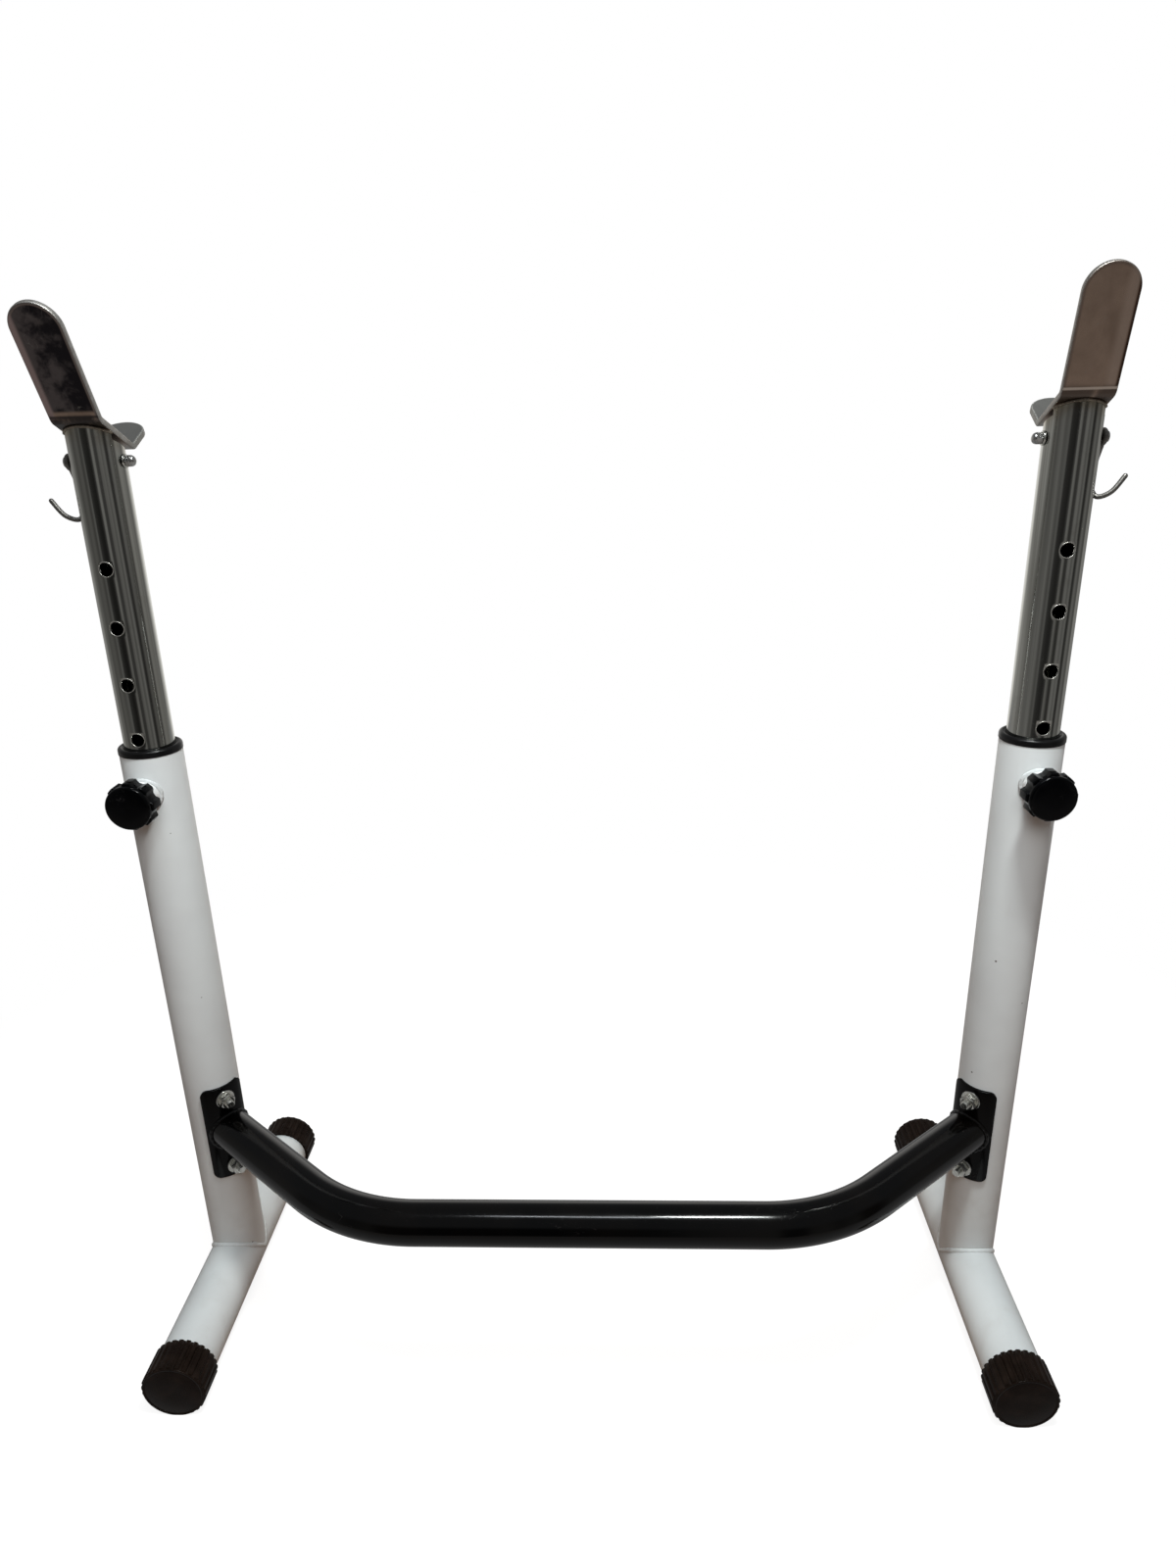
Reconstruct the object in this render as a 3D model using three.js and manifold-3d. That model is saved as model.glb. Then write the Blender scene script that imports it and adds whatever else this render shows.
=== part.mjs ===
// Adjustable squat stand: two welded side frames with round telescoping posts that end in bent steel bar cups,
// joined low down by a bowed crossbar. Millimetres and degrees.
// +X is to the right seen from the front, +Y to the rear and +Z up, from the floor in the middle of the stand.
import * as THREE from "three";
import { mergeVertices } from "three/addons/utils/BufferGeometryUtils.js";
import Module from "manifold-3d";

const wasm = await Module();
wasm.setup();

// Fits and facets
const clearance = 0.3; // gap between neighbouring pieces
const overrun = 4; // how far a cutting body reaches past what it cuts
const mergeTolerance = 0.0001;
const tubeFacets = 28;
const crossbarFacets = 20;
const holeFacets = 12;
const lockHoleFacets = 10;
const screwFacets = 12;
const arcSteps = 2;
const roundEndSteps = 14;

// Side frames: a round base tube from front to rear with a round upright on it
const uprightSpacing = 870;
const frameTubeWall = 2;
const baseLength = 398; // over the end caps
const uprightTop = 667;

// Ribbed end caps, flat underneath
const capLength = 36;
const capWall = 3.2;
const capEndThickness = 4;
const capBandLength = 8; // smooth round band at the closed end
const capBandProud = 0.4;
const capEdgeRadius = 3.5;
const capRibCount = 26;
const capRibDepth = 1.3;
const capGrooveShare = 0.3; // of the spacing of the ribs
const footThickness = 1.2; // plastic left under the tube by the flat foot

// Collar that guides the post in the top of the upright
const collarHeight = 7;
const collarProud = 0.6;
const collarRounding = 2.6;
const collarSleeveDepth = 22;

// Telescoping post with a row of locking holes
const postDiameter = 48;
const postWall = 2;
const postPlay = 4; // between the post and the upright's bore, filled by the collar and the guide
const lockHolePlay = 1; // between the locking pin and its hole, in diameter
const lockHolePitch = 55;
const holesAbovePin = 4;
const holesBelowPin = 3;
const pinDrop = 37.5; // from the upright's top down to the locking pin
const postTail = 20; // from the lowest locking hole down to the post's end
const cupRise = 127.5; // from the highest locking hole up to the cup's bend
const guideFlange = 5; // plastic guide at the post's lower end
const guideDepth = 10;
const guideWall = 3;

// Locking knob and its threaded pin
const bossDiameter = 30;
const bossLength = 15;
const pinDiameter = 12;
const pinTipChamfer = 1.5;
const pinThreadDepth = 8; // how far the pin reaches into the knob behind its recess
const knobDiameter = 48;
const knobLobeCount = 8;
const knobLobeSteps = 5;
const knobLobeDepth = 3;
const knobLobeEdge = 1.5;
const knobFaceDiameter = 44;
const knobFaceEdge = 2;
const knobFaceThickness = 5;
const knobThickness = 22;
const knobGap = 1; // from the boss to the knob with the pin drawn back
const knobRecessDepth = 9;
const knobRecessWall = 1.5; // between the boss and the recess that swallows it

// Bar cup: one strip of steel, bent twice
const cupWidth = 45;
const cupThickness = 6;
const cupBendRadius = 4;
const cupEdge = 1;
const cupOverhang = 4; // the bend stands this far in front of the post
const plateLength = 102.5;
const plateLean = { left: 26.5, right: 15.5 }; // degrees: the two cups aren't bent alike
const saddleLength = 61.5;
const saddleFall = 24.3;
const lipLength = 47.5;
const lipRise = 25;
const cupTwist = { left: 0, right: 4 }; // degrees about the post: one cup sits slightly askew
const notchStart = 13; // from the post's front to the step in its slanted top
const notchDrop = 7;

// Wire hook and the bolt that carries it through the post
const hookBoltDrop = 33.5; // below the cup's bend
const hookBoltDiameter = 6;
const hookHeadDiameter = 11;
const hookHeadHeight = 3;
const hookHeadDome = 2; // part of the head's height that is domed
const hookWasherDiameter = 12.5;
const hookWasherThickness = 1.5;
const capNutAcross = 10;
const capNutHexHeight = 5;
const capNutHeight = 8.5;
const wireDiameter = 4.5;
const hookLegSetback = 9; // how far the leg runs behind the bolt
const hookLegDrop = 44;
const hookDrop = 51; // from the bolt to the lowest part of the wire's centre line
const hookReach = 26; // from the leg out to the tip
const hookTipRise = 20;
const hookPlay = 0.8; // between the wire and the post, so that the hook swings free
const hookFacets = 8;
const hookSteps = 14;

// Crossbar and the curved plates welded to its ends
const crossbarHeight = 220;
const crossbarDiameter = 44;
const crossbarWall = 2;
const crossbarBow = 160; // how far the straight middle stands in front of the uprights
const crossbarBendRadius = 186;
const crossbarLegAngle = 39.5; // between its legs and the X axis
const crossbarBoreFacets = 10;
const crossbarBendSteps = 6;
const bracketAngle = 45; // from the X axis to the middle of a saddle plate
const bracketWrap = 90; // how much of the upright a saddle plate goes round
const bracketHeight = 118;
const bracketThickness = 3;
const bracketCorner = 8;
const bracketSteps = 8;

// Bolts that hold the saddle plates
const frameBoltInset = 14.5; // from an end of the saddle plate
const frameBoltDiameter = 10;
const frameBoltHead = 6.4;
const frameBoltEnd = 6; // thread left standing out of the nut
const frameWasherDiameter = 22;
const frameWasherThickness = 2;
const frameNutAcross = 16;
const frameNutHeight = 8;
const hexChamferShare = 0.12; // of a hexagon's width

// Worked out from the sizes above
const postRadius = postDiameter / 2;
const frameBoreRadius = postRadius + postPlay;
const frameTubeRadius = frameBoreRadius + frameTubeWall;
const baseHeight = frameTubeRadius + clearance + footThickness;
const capRadius = frameTubeRadius + clearance + capWall;
const postBoreRadius = postRadius - postWall;
const pinHeight = uprightTop - pinDrop;
const pinRadius = pinDiameter / 2;
const lockHoleRadius = (pinDiameter + lockHolePlay) / 2;
const topHoleHeight = pinHeight + holesAbovePin * lockHolePitch;
const lowHoleHeight = pinHeight - holesBelowPin * lockHolePitch;
const postBottom = lowHoleHeight - postTail;
const cupBendHeight = topHoleHeight + cupRise;
const cupBendPlace = -(postRadius + cupOverhang);
const hookBoltHeight = cupBendHeight - hookBoltDrop;
const hookBoltRadius = hookBoltDiameter / 2;
const bossFront = frameTubeRadius + bossLength;
const knobBack = bossFront + knobGap;
const knobFront = knobBack + knobThickness;
const bracketRadius = frameTubeRadius + clearance + bracketThickness;
const frameBoltRadius = frameBoltDiameter / 2;
const frameBoltRise = bracketHeight / 2 - frameBoltInset;
const radians = THREE.MathUtils.degToRad;

// Materials
const finishes = {
  whitePaint: { color: "#dfe5e6", metalness: 0, roughness: 0.45 },
  blackPaint: { color: "#0c0b0c", metalness: 0, roughness: 0.35 },
  blackPlastic: { color: "#151414", metalness: 0, roughness: 0.5 },
  glossyPlastic: { color: "#080808", metalness: 0, roughness: 0.25 },
  chrome: { color: "#c9cac8", metalness: 1, roughness: 0.12 },
  platedSteel: { color: "#8d8780", metalness: 1, roughness: 0.3 },
  zinc: { color: "#b4b3ae", metalness: 1, roughness: 0.35 },
};

function piece(name, geometry, finish) {
  const mesh = new THREE.Mesh(geometry, new THREE.MeshStandardMaterial(finishes[finish]));
  mesh.name = name;
  return mesh;
}

// Turns a closed geometry into a solid that can be cut and joined.
function solidOf(geometry) {
  const bare = new THREE.BufferGeometry();
  bare.setAttribute("position", geometry.getAttribute("position"));
  bare.setIndex(geometry.index);
  const merged = mergeVertices(bare, mergeTolerance);
  const corners = merged.index.array;
  const triangles = [];
  for (let i = 0; i < corners.length; i += 3) {
    const [a, b, c] = corners.subarray(i, i + 3);
    if (a !== b && b !== c && c !== a) triangles.push(a, b, c);
  }
  return new wasm.Manifold(
    new wasm.Mesh({
      numProp: 3,
      vertProperties: merged.getAttribute("position").array,
      triVerts: new Uint32Array(triangles),
    }),
  );
}

function geometryOf(solid) {
  const { vertProperties, triVerts } = solid.getMesh();
  const indexed = new THREE.BufferGeometry();
  indexed.setAttribute("position", new THREE.BufferAttribute(vertProperties, 3));
  indexed.setIndex(new THREE.BufferAttribute(triVerts, 1));
  const geometry = indexed.toNonIndexed();
  geometry.computeVertexNormals();
  return geometry;
}

const cut = (body, ...tools) => tools.reduce((left, tool) => left.subtract(tool), body);
const join = (body, ...others) => others.reduce((sum, other) => sum.add(other), body);

// Revolves a closed profile of [radius, height] points round the Z axis.
function revolved(profile, facets) {
  const points = profile.map(([radius, height]) => new THREE.Vector2(radius, height));
  return new THREE.LatheGeometry(points, facets).rotateX(Math.PI / 2);
}

// A round bar along +Z or, with a bore, a tube.
function roundBar(radius, from, to, facets, bore = 0) {
  const outside = [[bore, from], [radius, from], [radius, to], [bore, to]];
  return revolved(bore > 0 ? [...outside, [bore, from]] : outside, facets);
}

function roundSolid(radius, from, to, facets, bore = 0) {
  return solidOf(roundBar(radius, from, to, facets, bore));
}

// Points on a quarter circle or any other arc, as [x, y] pairs.
function arcPoints(centreX, centreY, radius, fromAngle, toAngle, steps) {
  return Array.from({ length: steps + 1 }, (_, i) => {
    const angle = radians(steps > 0 ? fromAngle + ((toAngle - fromAngle) * i) / steps : fromAngle);
    return [centreX + radius * Math.cos(angle), centreY + radius * Math.sin(angle)];
  });
}

function outline(points) {
  return new THREE.Shape(points.map(([x, y]) => new THREE.Vector2(x, y)));
}

function prism(shape, depth) {
  return new THREE.ExtrudeGeometry(shape, { depth, bevelEnabled: false, curveSegments: arcSteps });
}

// Extrudes an outline drawn in the YZ plane, centred on x = 0.
function sideways(geometry, width) {
  const axes = new THREE.Matrix4().makeBasis(
    new THREE.Vector3(0, 1, 0),
    new THREE.Vector3(0, 0, 1),
    new THREE.Vector3(1, 0, 0),
  );
  return geometry.applyMatrix4(axes).translate(-width / 2, 0, 0);
}

// A hexagonal prism from z = 0 up, its corners chamfered at the top.
function hexagon(across, height) {
  const cornerRadius = across / Math.sqrt(3);
  const chamfer = across * hexChamferShare;
  const prismSolid = roundSolid(cornerRadius, 0, height, 6);
  const cone = solidOf(
    revolved(
      [
        [0, -overrun],
        [cornerRadius + overrun, -overrun],
        [cornerRadius + overrun, height - chamfer],
        [cornerRadius, height - chamfer],
        [across / 2, height],
        [0, height],
      ],
      holeFacets,
    ),
  );
  return prismSolid.intersect(cone);
}

function baseTube() {
  const halfLength = baseLength / 2 - capEndThickness - clearance;
  return roundBar(frameTubeRadius, -halfLength, halfLength, tubeFacets, frameBoreRadius).rotateX(Math.PI / 2);
}

// A cap with its mouth at y = 0, closed towards -Y, its axis on the Y axis.
function endCap() {
  const spacing = 360 / capRibCount;
  const groove = spacing * capGrooveShare;
  const ribbed = Array.from({ length: capRibCount }, (_, i) => [
    ...arcPoints(0, 0, capRadius - capRibDepth, i * spacing, i * spacing, 0),
    ...arcPoints(0, 0, capRadius, i * spacing + groove, (i + 1) * spacing - groove, 1),
  ]).flat();
  const bandStart = capLength - capBandLength;
  const bandRadius = capRadius + capBandProud;
  const sleeve = solidOf(prism(outline(ribbed), bandStart + capEdgeRadius));
  const rounding = arcPoints(bandRadius - capEdgeRadius, capLength - capEdgeRadius, capEdgeRadius, 0, 90, arcSteps);
  const band = solidOf(revolved([[0, bandStart], [bandRadius, bandStart], ...rounding, [0, capLength]], tubeFacets));
  const bore = roundSolid(frameTubeRadius + clearance, -overrun, capLength - capEndThickness, tubeFacets);
  const floorWidth = 2 * (bandRadius + overrun);
  const floor = new THREE.BoxGeometry(floorWidth, bandRadius, floorWidth);
  floor.translate(0, -baseHeight - bandRadius / 2, capLength / 2);
  return geometryOf(cut(join(sleeve, band), bore, solidOf(floor))).rotateX(Math.PI / 2);
}

// Shared cutting bodies round the upright, in the side frame: x towards the other side frame.
const uprightSkin = (gap) => roundSolid(frameTubeRadius + gap, baseHeight, uprightTop, tubeFacets);

function frontHole(radius, height, reach, facets) {
  return solidOf(roundBar(radius, 0, reach, facets).rotateX(Math.PI / 2).translate(0, 0, height));
}

function bracketBoltHole(offset) {
  const reach = frameTubeRadius + overrun;
  const hole = roundBar(frameBoltRadius + clearance, -reach, reach, holeFacets);
  hole.rotateY(Math.PI / 2).rotateZ(-radians(bracketAngle)).translate(0, 0, crossbarHeight + offset);
  return solidOf(hole);
}

function upright() {
  const tube = roundSolid(frameTubeRadius, baseHeight, uprightTop, tubeFacets, frameBoreRadius);
  const base = roundBar(frameTubeRadius + clearance, -baseLength / 2, baseLength / 2, tubeFacets);
  base.rotateX(Math.PI / 2).translate(0, 0, baseHeight);
  const pinHole = frontHole(pinRadius + clearance, pinHeight, frameTubeRadius + overrun, screwFacets);
  const boltHoles = [frameBoltRise, -frameBoltRise].map(bracketBoltHole);
  return geometryOf(cut(tube, solidOf(base), pinHole, ...boltHoles));
}

function knobBoss() {
  const body = frontHole(bossDiameter / 2, pinHeight, bossFront, tubeFacets / 2);
  const bore = frontHole(pinRadius + clearance, pinHeight, bossFront + overrun, screwFacets);
  return geometryOf(cut(body, uprightSkin(clearance), bore));
}

// The collar sits on the upright's end and lines its bore; its foot is at z = 0.
function collar() {
  const rim = frameTubeRadius + collarProud;
  const bore = postRadius + clearance;
  const sleeve = frameBoreRadius - clearance;
  const outer = arcPoints(rim - collarRounding, collarHeight - collarRounding, collarRounding, 0, 90, arcSteps);
  const inner = arcPoints(bore + collarRounding, collarHeight - collarRounding, collarRounding, 90, 180, arcSteps);
  const profile = [
    [bore, -collarSleeveDepth],
    [sleeve, -collarSleeveDepth],
    [sleeve, clearance],
    [rim, clearance],
    ...outer,
    ...inner,
    [bore, -collarSleeveDepth],
  ];
  return revolved(profile, tubeFacets);
}

// Unit vectors in the YZ plane, [y, z].
const along = (degrees) => [Math.cos(radians(degrees)), Math.sin(radians(degrees))];
const leftOf = ([y, z]) => [-z, y];
const moved = ([y, z], [dy, dz], distance) => [y + dy * distance, z + dz * distance];

// The strip's underside runs from the plate's top down to the bend, back along the saddle and up the lip.
const saddleDirection = along(-saddleFall);
const lipDirection = along(lipRise);
const cupBend = [0, 0];
const cupValley = moved(cupBend, saddleDirection, saddleLength);
const cupTip = moved(cupValley, lipDirection, lipLength);

function cupProfile(plateDirection) {
  const top = moved(cupBend, plateDirection, -plateLength);
  const bendRound = (corner, before, after, radius) => {
    const [ny, nz] = leftOf(before);
    const [my, mz] = leftOf(after);
    const share = (cupBendRadius + cupThickness) / (1 + ny * my + nz * mz);
    const centre = moved(corner, [ny + my, nz + mz], share);
    const start = THREE.MathUtils.radToDeg(Math.atan2(-nz, -ny));
    const turn = THREE.MathUtils.radToDeg(Math.acos(ny * my + nz * mz));
    return arcPoints(centre[0], centre[1], radius, start, start + turn, arcSteps);
  };
  const outerRadius = cupBendRadius + cupThickness;
  return [
    top,
    ...bendRound(cupBend, plateDirection, saddleDirection, outerRadius),
    ...bendRound(cupValley, saddleDirection, lipDirection, outerRadius),
    cupTip,
    moved(cupTip, leftOf(lipDirection), cupThickness),
    ...bendRound(cupValley, saddleDirection, lipDirection, cupBendRadius).reverse(),
    ...bendRound(cupBend, plateDirection, saddleDirection, cupBendRadius).reverse(),
    moved(top, leftOf(plateDirection), cupThickness),
  ];
}

// Takes the corners off an end of the strip, leaving it a half round; the end points along `direction`.
function endRounder(tip, direction) {
  const radius = cupWidth / 2;
  const reach = radius + overrun;
  const bite = arcPoints(0, 0, radius, 0, 180, roundEndSteps);
  const shape = outline([...bite, [-reach, 0], [-reach, reach], [reach, reach], [reach, 0]]);
  const depth = 2 * (cupThickness + overrun);
  const centre = moved(tip, direction, -radius);
  const [dy, dz] = direction;
  const axes = new THREE.Matrix4().makeBasis(
    new THREE.Vector3(1, 0, 0),
    new THREE.Vector3(0, dy, dz),
    new THREE.Vector3(0, -dz, dy),
  );
  const tool = prism(shape, depth).translate(0, 0, -depth / 2).applyMatrix4(axes);
  return solidOf(tool.translate(0, centre[0], centre[1]));
}

// The cup with its bend's outer corner at the origin.
function barCup(lean) {
  const plateDirection = along(lean - 90);
  const profile = cupProfile(plateDirection);
  const strip = new THREE.ExtrudeGeometry(outline(profile), {
    depth: cupWidth - 2 * cupEdge,
    bevelThickness: cupEdge,
    bevelSize: cupEdge,
    bevelOffset: -cupEdge,
    bevelSegments: 1,
  });
  const solid = solidOf(sideways(strip, cupWidth - 2 * cupEdge));
  const plateUp = plateDirection.map((value) => -value);
  return geometryOf(cut(solid, endRounder(profile[0], plateUp), endRounder(cupTip, lipDirection)));
}

// Takes the post's top off along a slant under its cup, with a step towards the rear.
function postTopCut(twist) {
  const seat = moved([cupBendPlace, cupBendHeight], leftOf(saddleDirection), -clearance);
  const slope = Math.tan(radians(saddleFall));
  const heightAt = (place, drop) => seat[1] - (place - seat[0]) * slope - drop;
  const front = cupBendPlace - overrun;
  const step = notchStart - postRadius;
  const rear = postRadius + overrun;
  const over = cupBendHeight + postDiameter;
  const shape = outline([
    [front, heightAt(front, 0)],
    [step, heightAt(step, 0)],
    [step, heightAt(step, notchDrop)],
    [rear, heightAt(rear, notchDrop)],
    [rear, over],
    [front, over],
  ]);
  const width = postDiameter + 2 * overrun;
  return solidOf(sideways(prism(shape, width), width).rotateZ(radians(twist)));
}

function post(twist) {
  const tube = roundSolid(postRadius, postBottom, cupBendHeight + overrun, tubeFacets, postBoreRadius);
  const reach = postRadius + overrun;
  const lockHoles = [];
  for (let i = -holesBelowPin; i <= holesAbovePin; i += 1) {
    const hole = roundBar(lockHoleRadius, -reach, reach, lockHoleFacets).rotateX(Math.PI / 2);
    lockHoles.push(solidOf(hole.translate(0, 0, pinHeight + i * lockHolePitch)));
  }
  const boltHole = roundBar(hookBoltRadius + clearance, -reach, reach, holeFacets).rotateY(Math.PI / 2);
  boltHole.translate(0, 0, hookBoltHeight);
  return geometryOf(cut(tube, postTopCut(twist), ...lockHoles, solidOf(boltHole)));
}

// Plastic guide in the post's lower end: its flange runs in the upright's bore.
function postGuide() {
  const flange = frameBoreRadius - clearance;
  const spigot = postBoreRadius - clearance;
  const profile = [
    [spigot - guideWall, postBottom - guideFlange],
    [flange, postBottom - guideFlange],
    [flange, postBottom - clearance],
    [spigot, postBottom - clearance],
    [spigot, postBottom + guideDepth],
    [spigot - guideWall, postBottom + guideDepth],
    [spigot - guideWall, postBottom - guideFlange],
  ];
  return revolved(profile, tubeFacets);
}

// The locking knob, its axis on the Z axis, the boss side at z = 0 and its face at the far end.
function knob() {
  const lobePoints = knobLobeCount * knobLobeSteps;
  const lobes = Array.from({ length: lobePoints }, (_, i) => {
    const angle = (2 * Math.PI * i) / lobePoints;
    const radius = knobDiameter / 2 - (knobLobeDepth * (1 - Math.cos(knobLobeCount * angle))) / 2;
    return [radius * Math.cos(angle), radius * Math.sin(angle)];
  });
  const bodyLength = knobThickness - knobFaceThickness;
  const body = new THREE.ExtrudeGeometry(outline(lobes), {
    depth: bodyLength - 2 * knobLobeEdge,
    bevelThickness: knobLobeEdge,
    bevelSize: knobLobeEdge,
    bevelOffset: -knobLobeEdge,
    bevelSegments: 1,
  }).translate(0, 0, knobLobeEdge);
  const faceRadius = knobFaceDiameter / 2;
  const rounding = arcPoints(faceRadius - knobFaceEdge, knobThickness - knobFaceEdge, knobFaceEdge, 0, 90, arcSteps);
  const faceStart = bodyLength - knobLobeEdge;
  const face = revolved([[0, faceStart], [faceRadius, faceStart], ...rounding, [0, knobThickness]], tubeFacets);
  const recess = roundSolid(bossDiameter / 2 + knobRecessWall, -overrun, knobRecessDepth, tubeFacets / 2);
  const threadEnd = knobRecessDepth + pinThreadDepth + clearance;
  const thread = roundSolid(pinRadius + clearance, 0, threadEnd, screwFacets);
  return geometryOf(cut(join(solidOf(body), solidOf(face)), recess, thread));
}

// The pin, drawn back so that its tip is just clear of the post; its tip is at z = 0.
function lockPin() {
  const length = knobBack + knobRecessDepth + pinThreadDepth - postRadius - clearance;
  const profile = [
    [0, 0],
    [pinRadius - pinTipChamfer, 0],
    [pinRadius, pinTipChamfer],
    [pinRadius, length],
    [0, length],
  ];
  return revolved(profile, screwFacets);
}

// A hex-headed bolt along +Z, the underside of its head at z = 0.
function hexBolt(radius, length, across, headHeight) {
  const head = hexagon(across, headHeight).mirror([0, 0, 1]);
  return geometryOf(join(head, roundSolid(radius, -headHeight / 2, length, screwFacets)));
}

function hexNut(radius, across, height) {
  return geometryOf(cut(hexagon(across, height), roundSolid(radius, -overrun, height + overrun, screwFacets)));
}

// A bolt with a low round head, along +Z, the underside of its head at z = 0.
function roundHeadBolt(length) {
  const headRadius = hookHeadDiameter / 2;
  const domeRadius = (headRadius ** 2 + hookHeadDome ** 2) / (2 * hookHeadDome);
  const rimAngle = -THREE.MathUtils.radToDeg(Math.acos(headRadius / domeRadius));
  const dome = arcPoints(0, domeRadius - hookHeadHeight, domeRadius, -90, rimAngle, arcSteps);
  dome[0][0] = 0;
  const shank = [[headRadius, 0], [hookBoltRadius, 0], [hookBoltRadius, length], [0, length]];
  return revolved([...dome, ...shank], screwFacets);
}

// A domed nut, its seat at z = 0, with a blind bore.
function capNut() {
  const domeRadius = capNutAcross / 2;
  const dome = arcPoints(0, capNutHeight - domeRadius, domeRadius, 0, 90, arcSteps);
  dome[dome.length - 1][0] = 0;
  const cap = solidOf(revolved([[0, 0], [domeRadius, 0], ...dome], screwFacets));
  const bore = roundSolid(hookBoltRadius + clearance, -overrun, capNutHexHeight, screwFacets);
  return geometryOf(cut(join(hexagon(capNutAcross, capNutHexHeight), cap), bore));
}

// The wire hook round its bolt, which lies along x: x out from the post's axis, y towards the front.
const eyeRadius = hookBoltRadius + clearance + wireDiameter / 2;
const wirePlace = postRadius + hookPlay + wireDiameter / 2;

function wireHook() {
  const wireRadius = wireDiameter / 2;
  const eye = new THREE.TorusGeometry(eyeRadius, wireRadius, hookFacets, screwFacets);
  eye.rotateY(Math.PI / 2).translate(wirePlace, 0, 0);
  const legTurn = hookDrop - hookLegDrop;
  const legEnd = wirePlace + legTurn / 2;
  const route = new THREE.CatmullRomCurve3(
    [
      new THREE.Vector3(wirePlace, 0, -eyeRadius),
      new THREE.Vector3(wirePlace, -hookLegSetback, (-eyeRadius - hookLegDrop) / 2),
      new THREE.Vector3(wirePlace, -hookLegSetback, -hookLegDrop),
      new THREE.Vector3(legEnd, -hookLegSetback / 2, -hookDrop),
      new THREE.Vector3(wirePlace + hookReach / 2, 0, -hookDrop + legTurn / 2),
      new THREE.Vector3(wirePlace + hookReach, 0, -hookDrop + hookTipRise),
    ],
    false,
    "centripetal",
  );
  const circle = arcPoints(0, 0, wireRadius, 0, 360, hookFacets).slice(0, -1);
  const wire = new THREE.ExtrudeGeometry(outline(circle), { steps: hookSteps, extrudePath: route });
  return geometryOf(join(solidOf(eye), solidOf(wire)));
}

// Centre line of the crossbar in plan: straight legs, two bends and a straight middle.
class BowedRoute extends THREE.Curve {
  constructor() {
    super();
    const turn = radians(crossbarLegAngle);
    const cornerInset = crossbarBendRadius * Math.tan(turn / 2);
    this.turn = turn;
    this.leg = crossbarBow / Math.sin(turn) - cornerInset;
    this.bend = crossbarBendRadius * turn;
    this.half = uprightSpacing / 2 - crossbarBow / Math.tan(turn) - cornerInset;
    const bendStations = Array.from(
      { length: crossbarBendSteps + 1 },
      (_, i) => this.half + (this.bend * i) / crossbarBendSteps,
    );
    const rightStations = [...bendStations, this.leg + this.bend + this.half];
    this.stations = [...rightStations.map((distance) => -distance).reverse(), ...rightStations];
  }

  // The straights take one step each, so steps aren't evened out along the length.
  getUtoTmapping(u) {
    return u;
  }

  // A point on the right half, measured from the middle of the crossbar.
  pointAt(distance) {
    const intoBend = Math.min(Math.max(distance - this.half, 0), this.bend);
    const intoLeg = Math.max(distance - this.half - this.bend, 0);
    const angle = intoBend / crossbarBendRadius;
    const straight = Math.min(distance, this.half);
    const x = straight + crossbarBendRadius * Math.sin(angle) + intoLeg * Math.cos(this.turn);
    const y = crossbarBendRadius * (1 - Math.cos(angle)) + intoLeg * Math.sin(this.turn);
    return [x, y - crossbarBow];
  }

  getPoint(t, target = new THREE.Vector3()) {
    const place = t * (this.stations.length - 1);
    const before = Math.min(Math.floor(place), this.stations.length - 2);
    const [from, to] = this.stations.slice(before, before + 2);
    const distance = from + (to - from) * (place - before);
    const [x, y] = this.pointAt(Math.abs(distance));
    return target.set(distance < 0 ? -x : x, y, crossbarHeight);
  }
}

function crossbar() {
  const radius = crossbarDiameter / 2;
  const ring = outline(arcPoints(0, 0, radius, 0, 360, crossbarFacets).slice(0, -1));
  const bore = arcPoints(0, 0, radius - crossbarWall, 0, 360, crossbarBoreFacets).slice(0, -1);
  ring.holes.push(new THREE.Path(bore.map(([x, y]) => new THREE.Vector2(x, y))));
  const route = new BowedRoute();
  const bar = new THREE.ExtrudeGeometry(ring, { steps: route.stations.length - 1, extrudePath: route });
  const ends = [-1, 1].map((side) => {
    const end = roundBar(bracketRadius + clearance, crossbarHeight - radius - overrun,
      crossbarHeight + radius + overrun, tubeFacets);
    return solidOf(end.translate((side * uprightSpacing) / 2, 0, 0));
  });
  return geometryOf(cut(solidOf(bar), ...ends));
}

// The saddle plate in the bracket's frame: x out through its middle, the upright's axis at the origin.
function saddlePlate() {
  const half = bracketWrap / 2;
  const inner = frameTubeRadius + clearance;
  const outside = arcPoints(0, 0, bracketRadius, -half, half, bracketSteps);
  const inside = arcPoints(0, 0, inner, half, -half, bracketSteps);
  const wrap = prism(outline([...outside, ...inside]), bracketHeight).translate(0, 0, -bracketHeight / 2);
  const halfWidth = bracketRadius * Math.sin(radians(half));
  const halfHeight = bracketHeight / 2;
  const corner = (sideY, sideZ, from) =>
    arcPoints(sideY * (halfWidth - bracketCorner), sideZ * (halfHeight - bracketCorner), bracketCorner,
      from, from + 90, arcSteps);
  const face = outline([...corner(1, 1, 0), ...corner(-1, 1, 90), ...corner(-1, -1, 180), ...corner(1, -1, 270)]);
  const depth = bracketRadius + overrun;
  const blank = sideways(prism(face, depth), 0);
  const holes = [frameBoltRise, -frameBoltRise].map((height) => {
    const hole = roundBar(frameBoltRadius + clearance, 0, depth, holeFacets).rotateY(Math.PI / 2);
    return solidOf(hole.translate(0, 0, height));
  });
  return geometryOf(cut(solidOf(wrap).intersect(solidOf(blank)), ...holes));
}

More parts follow.
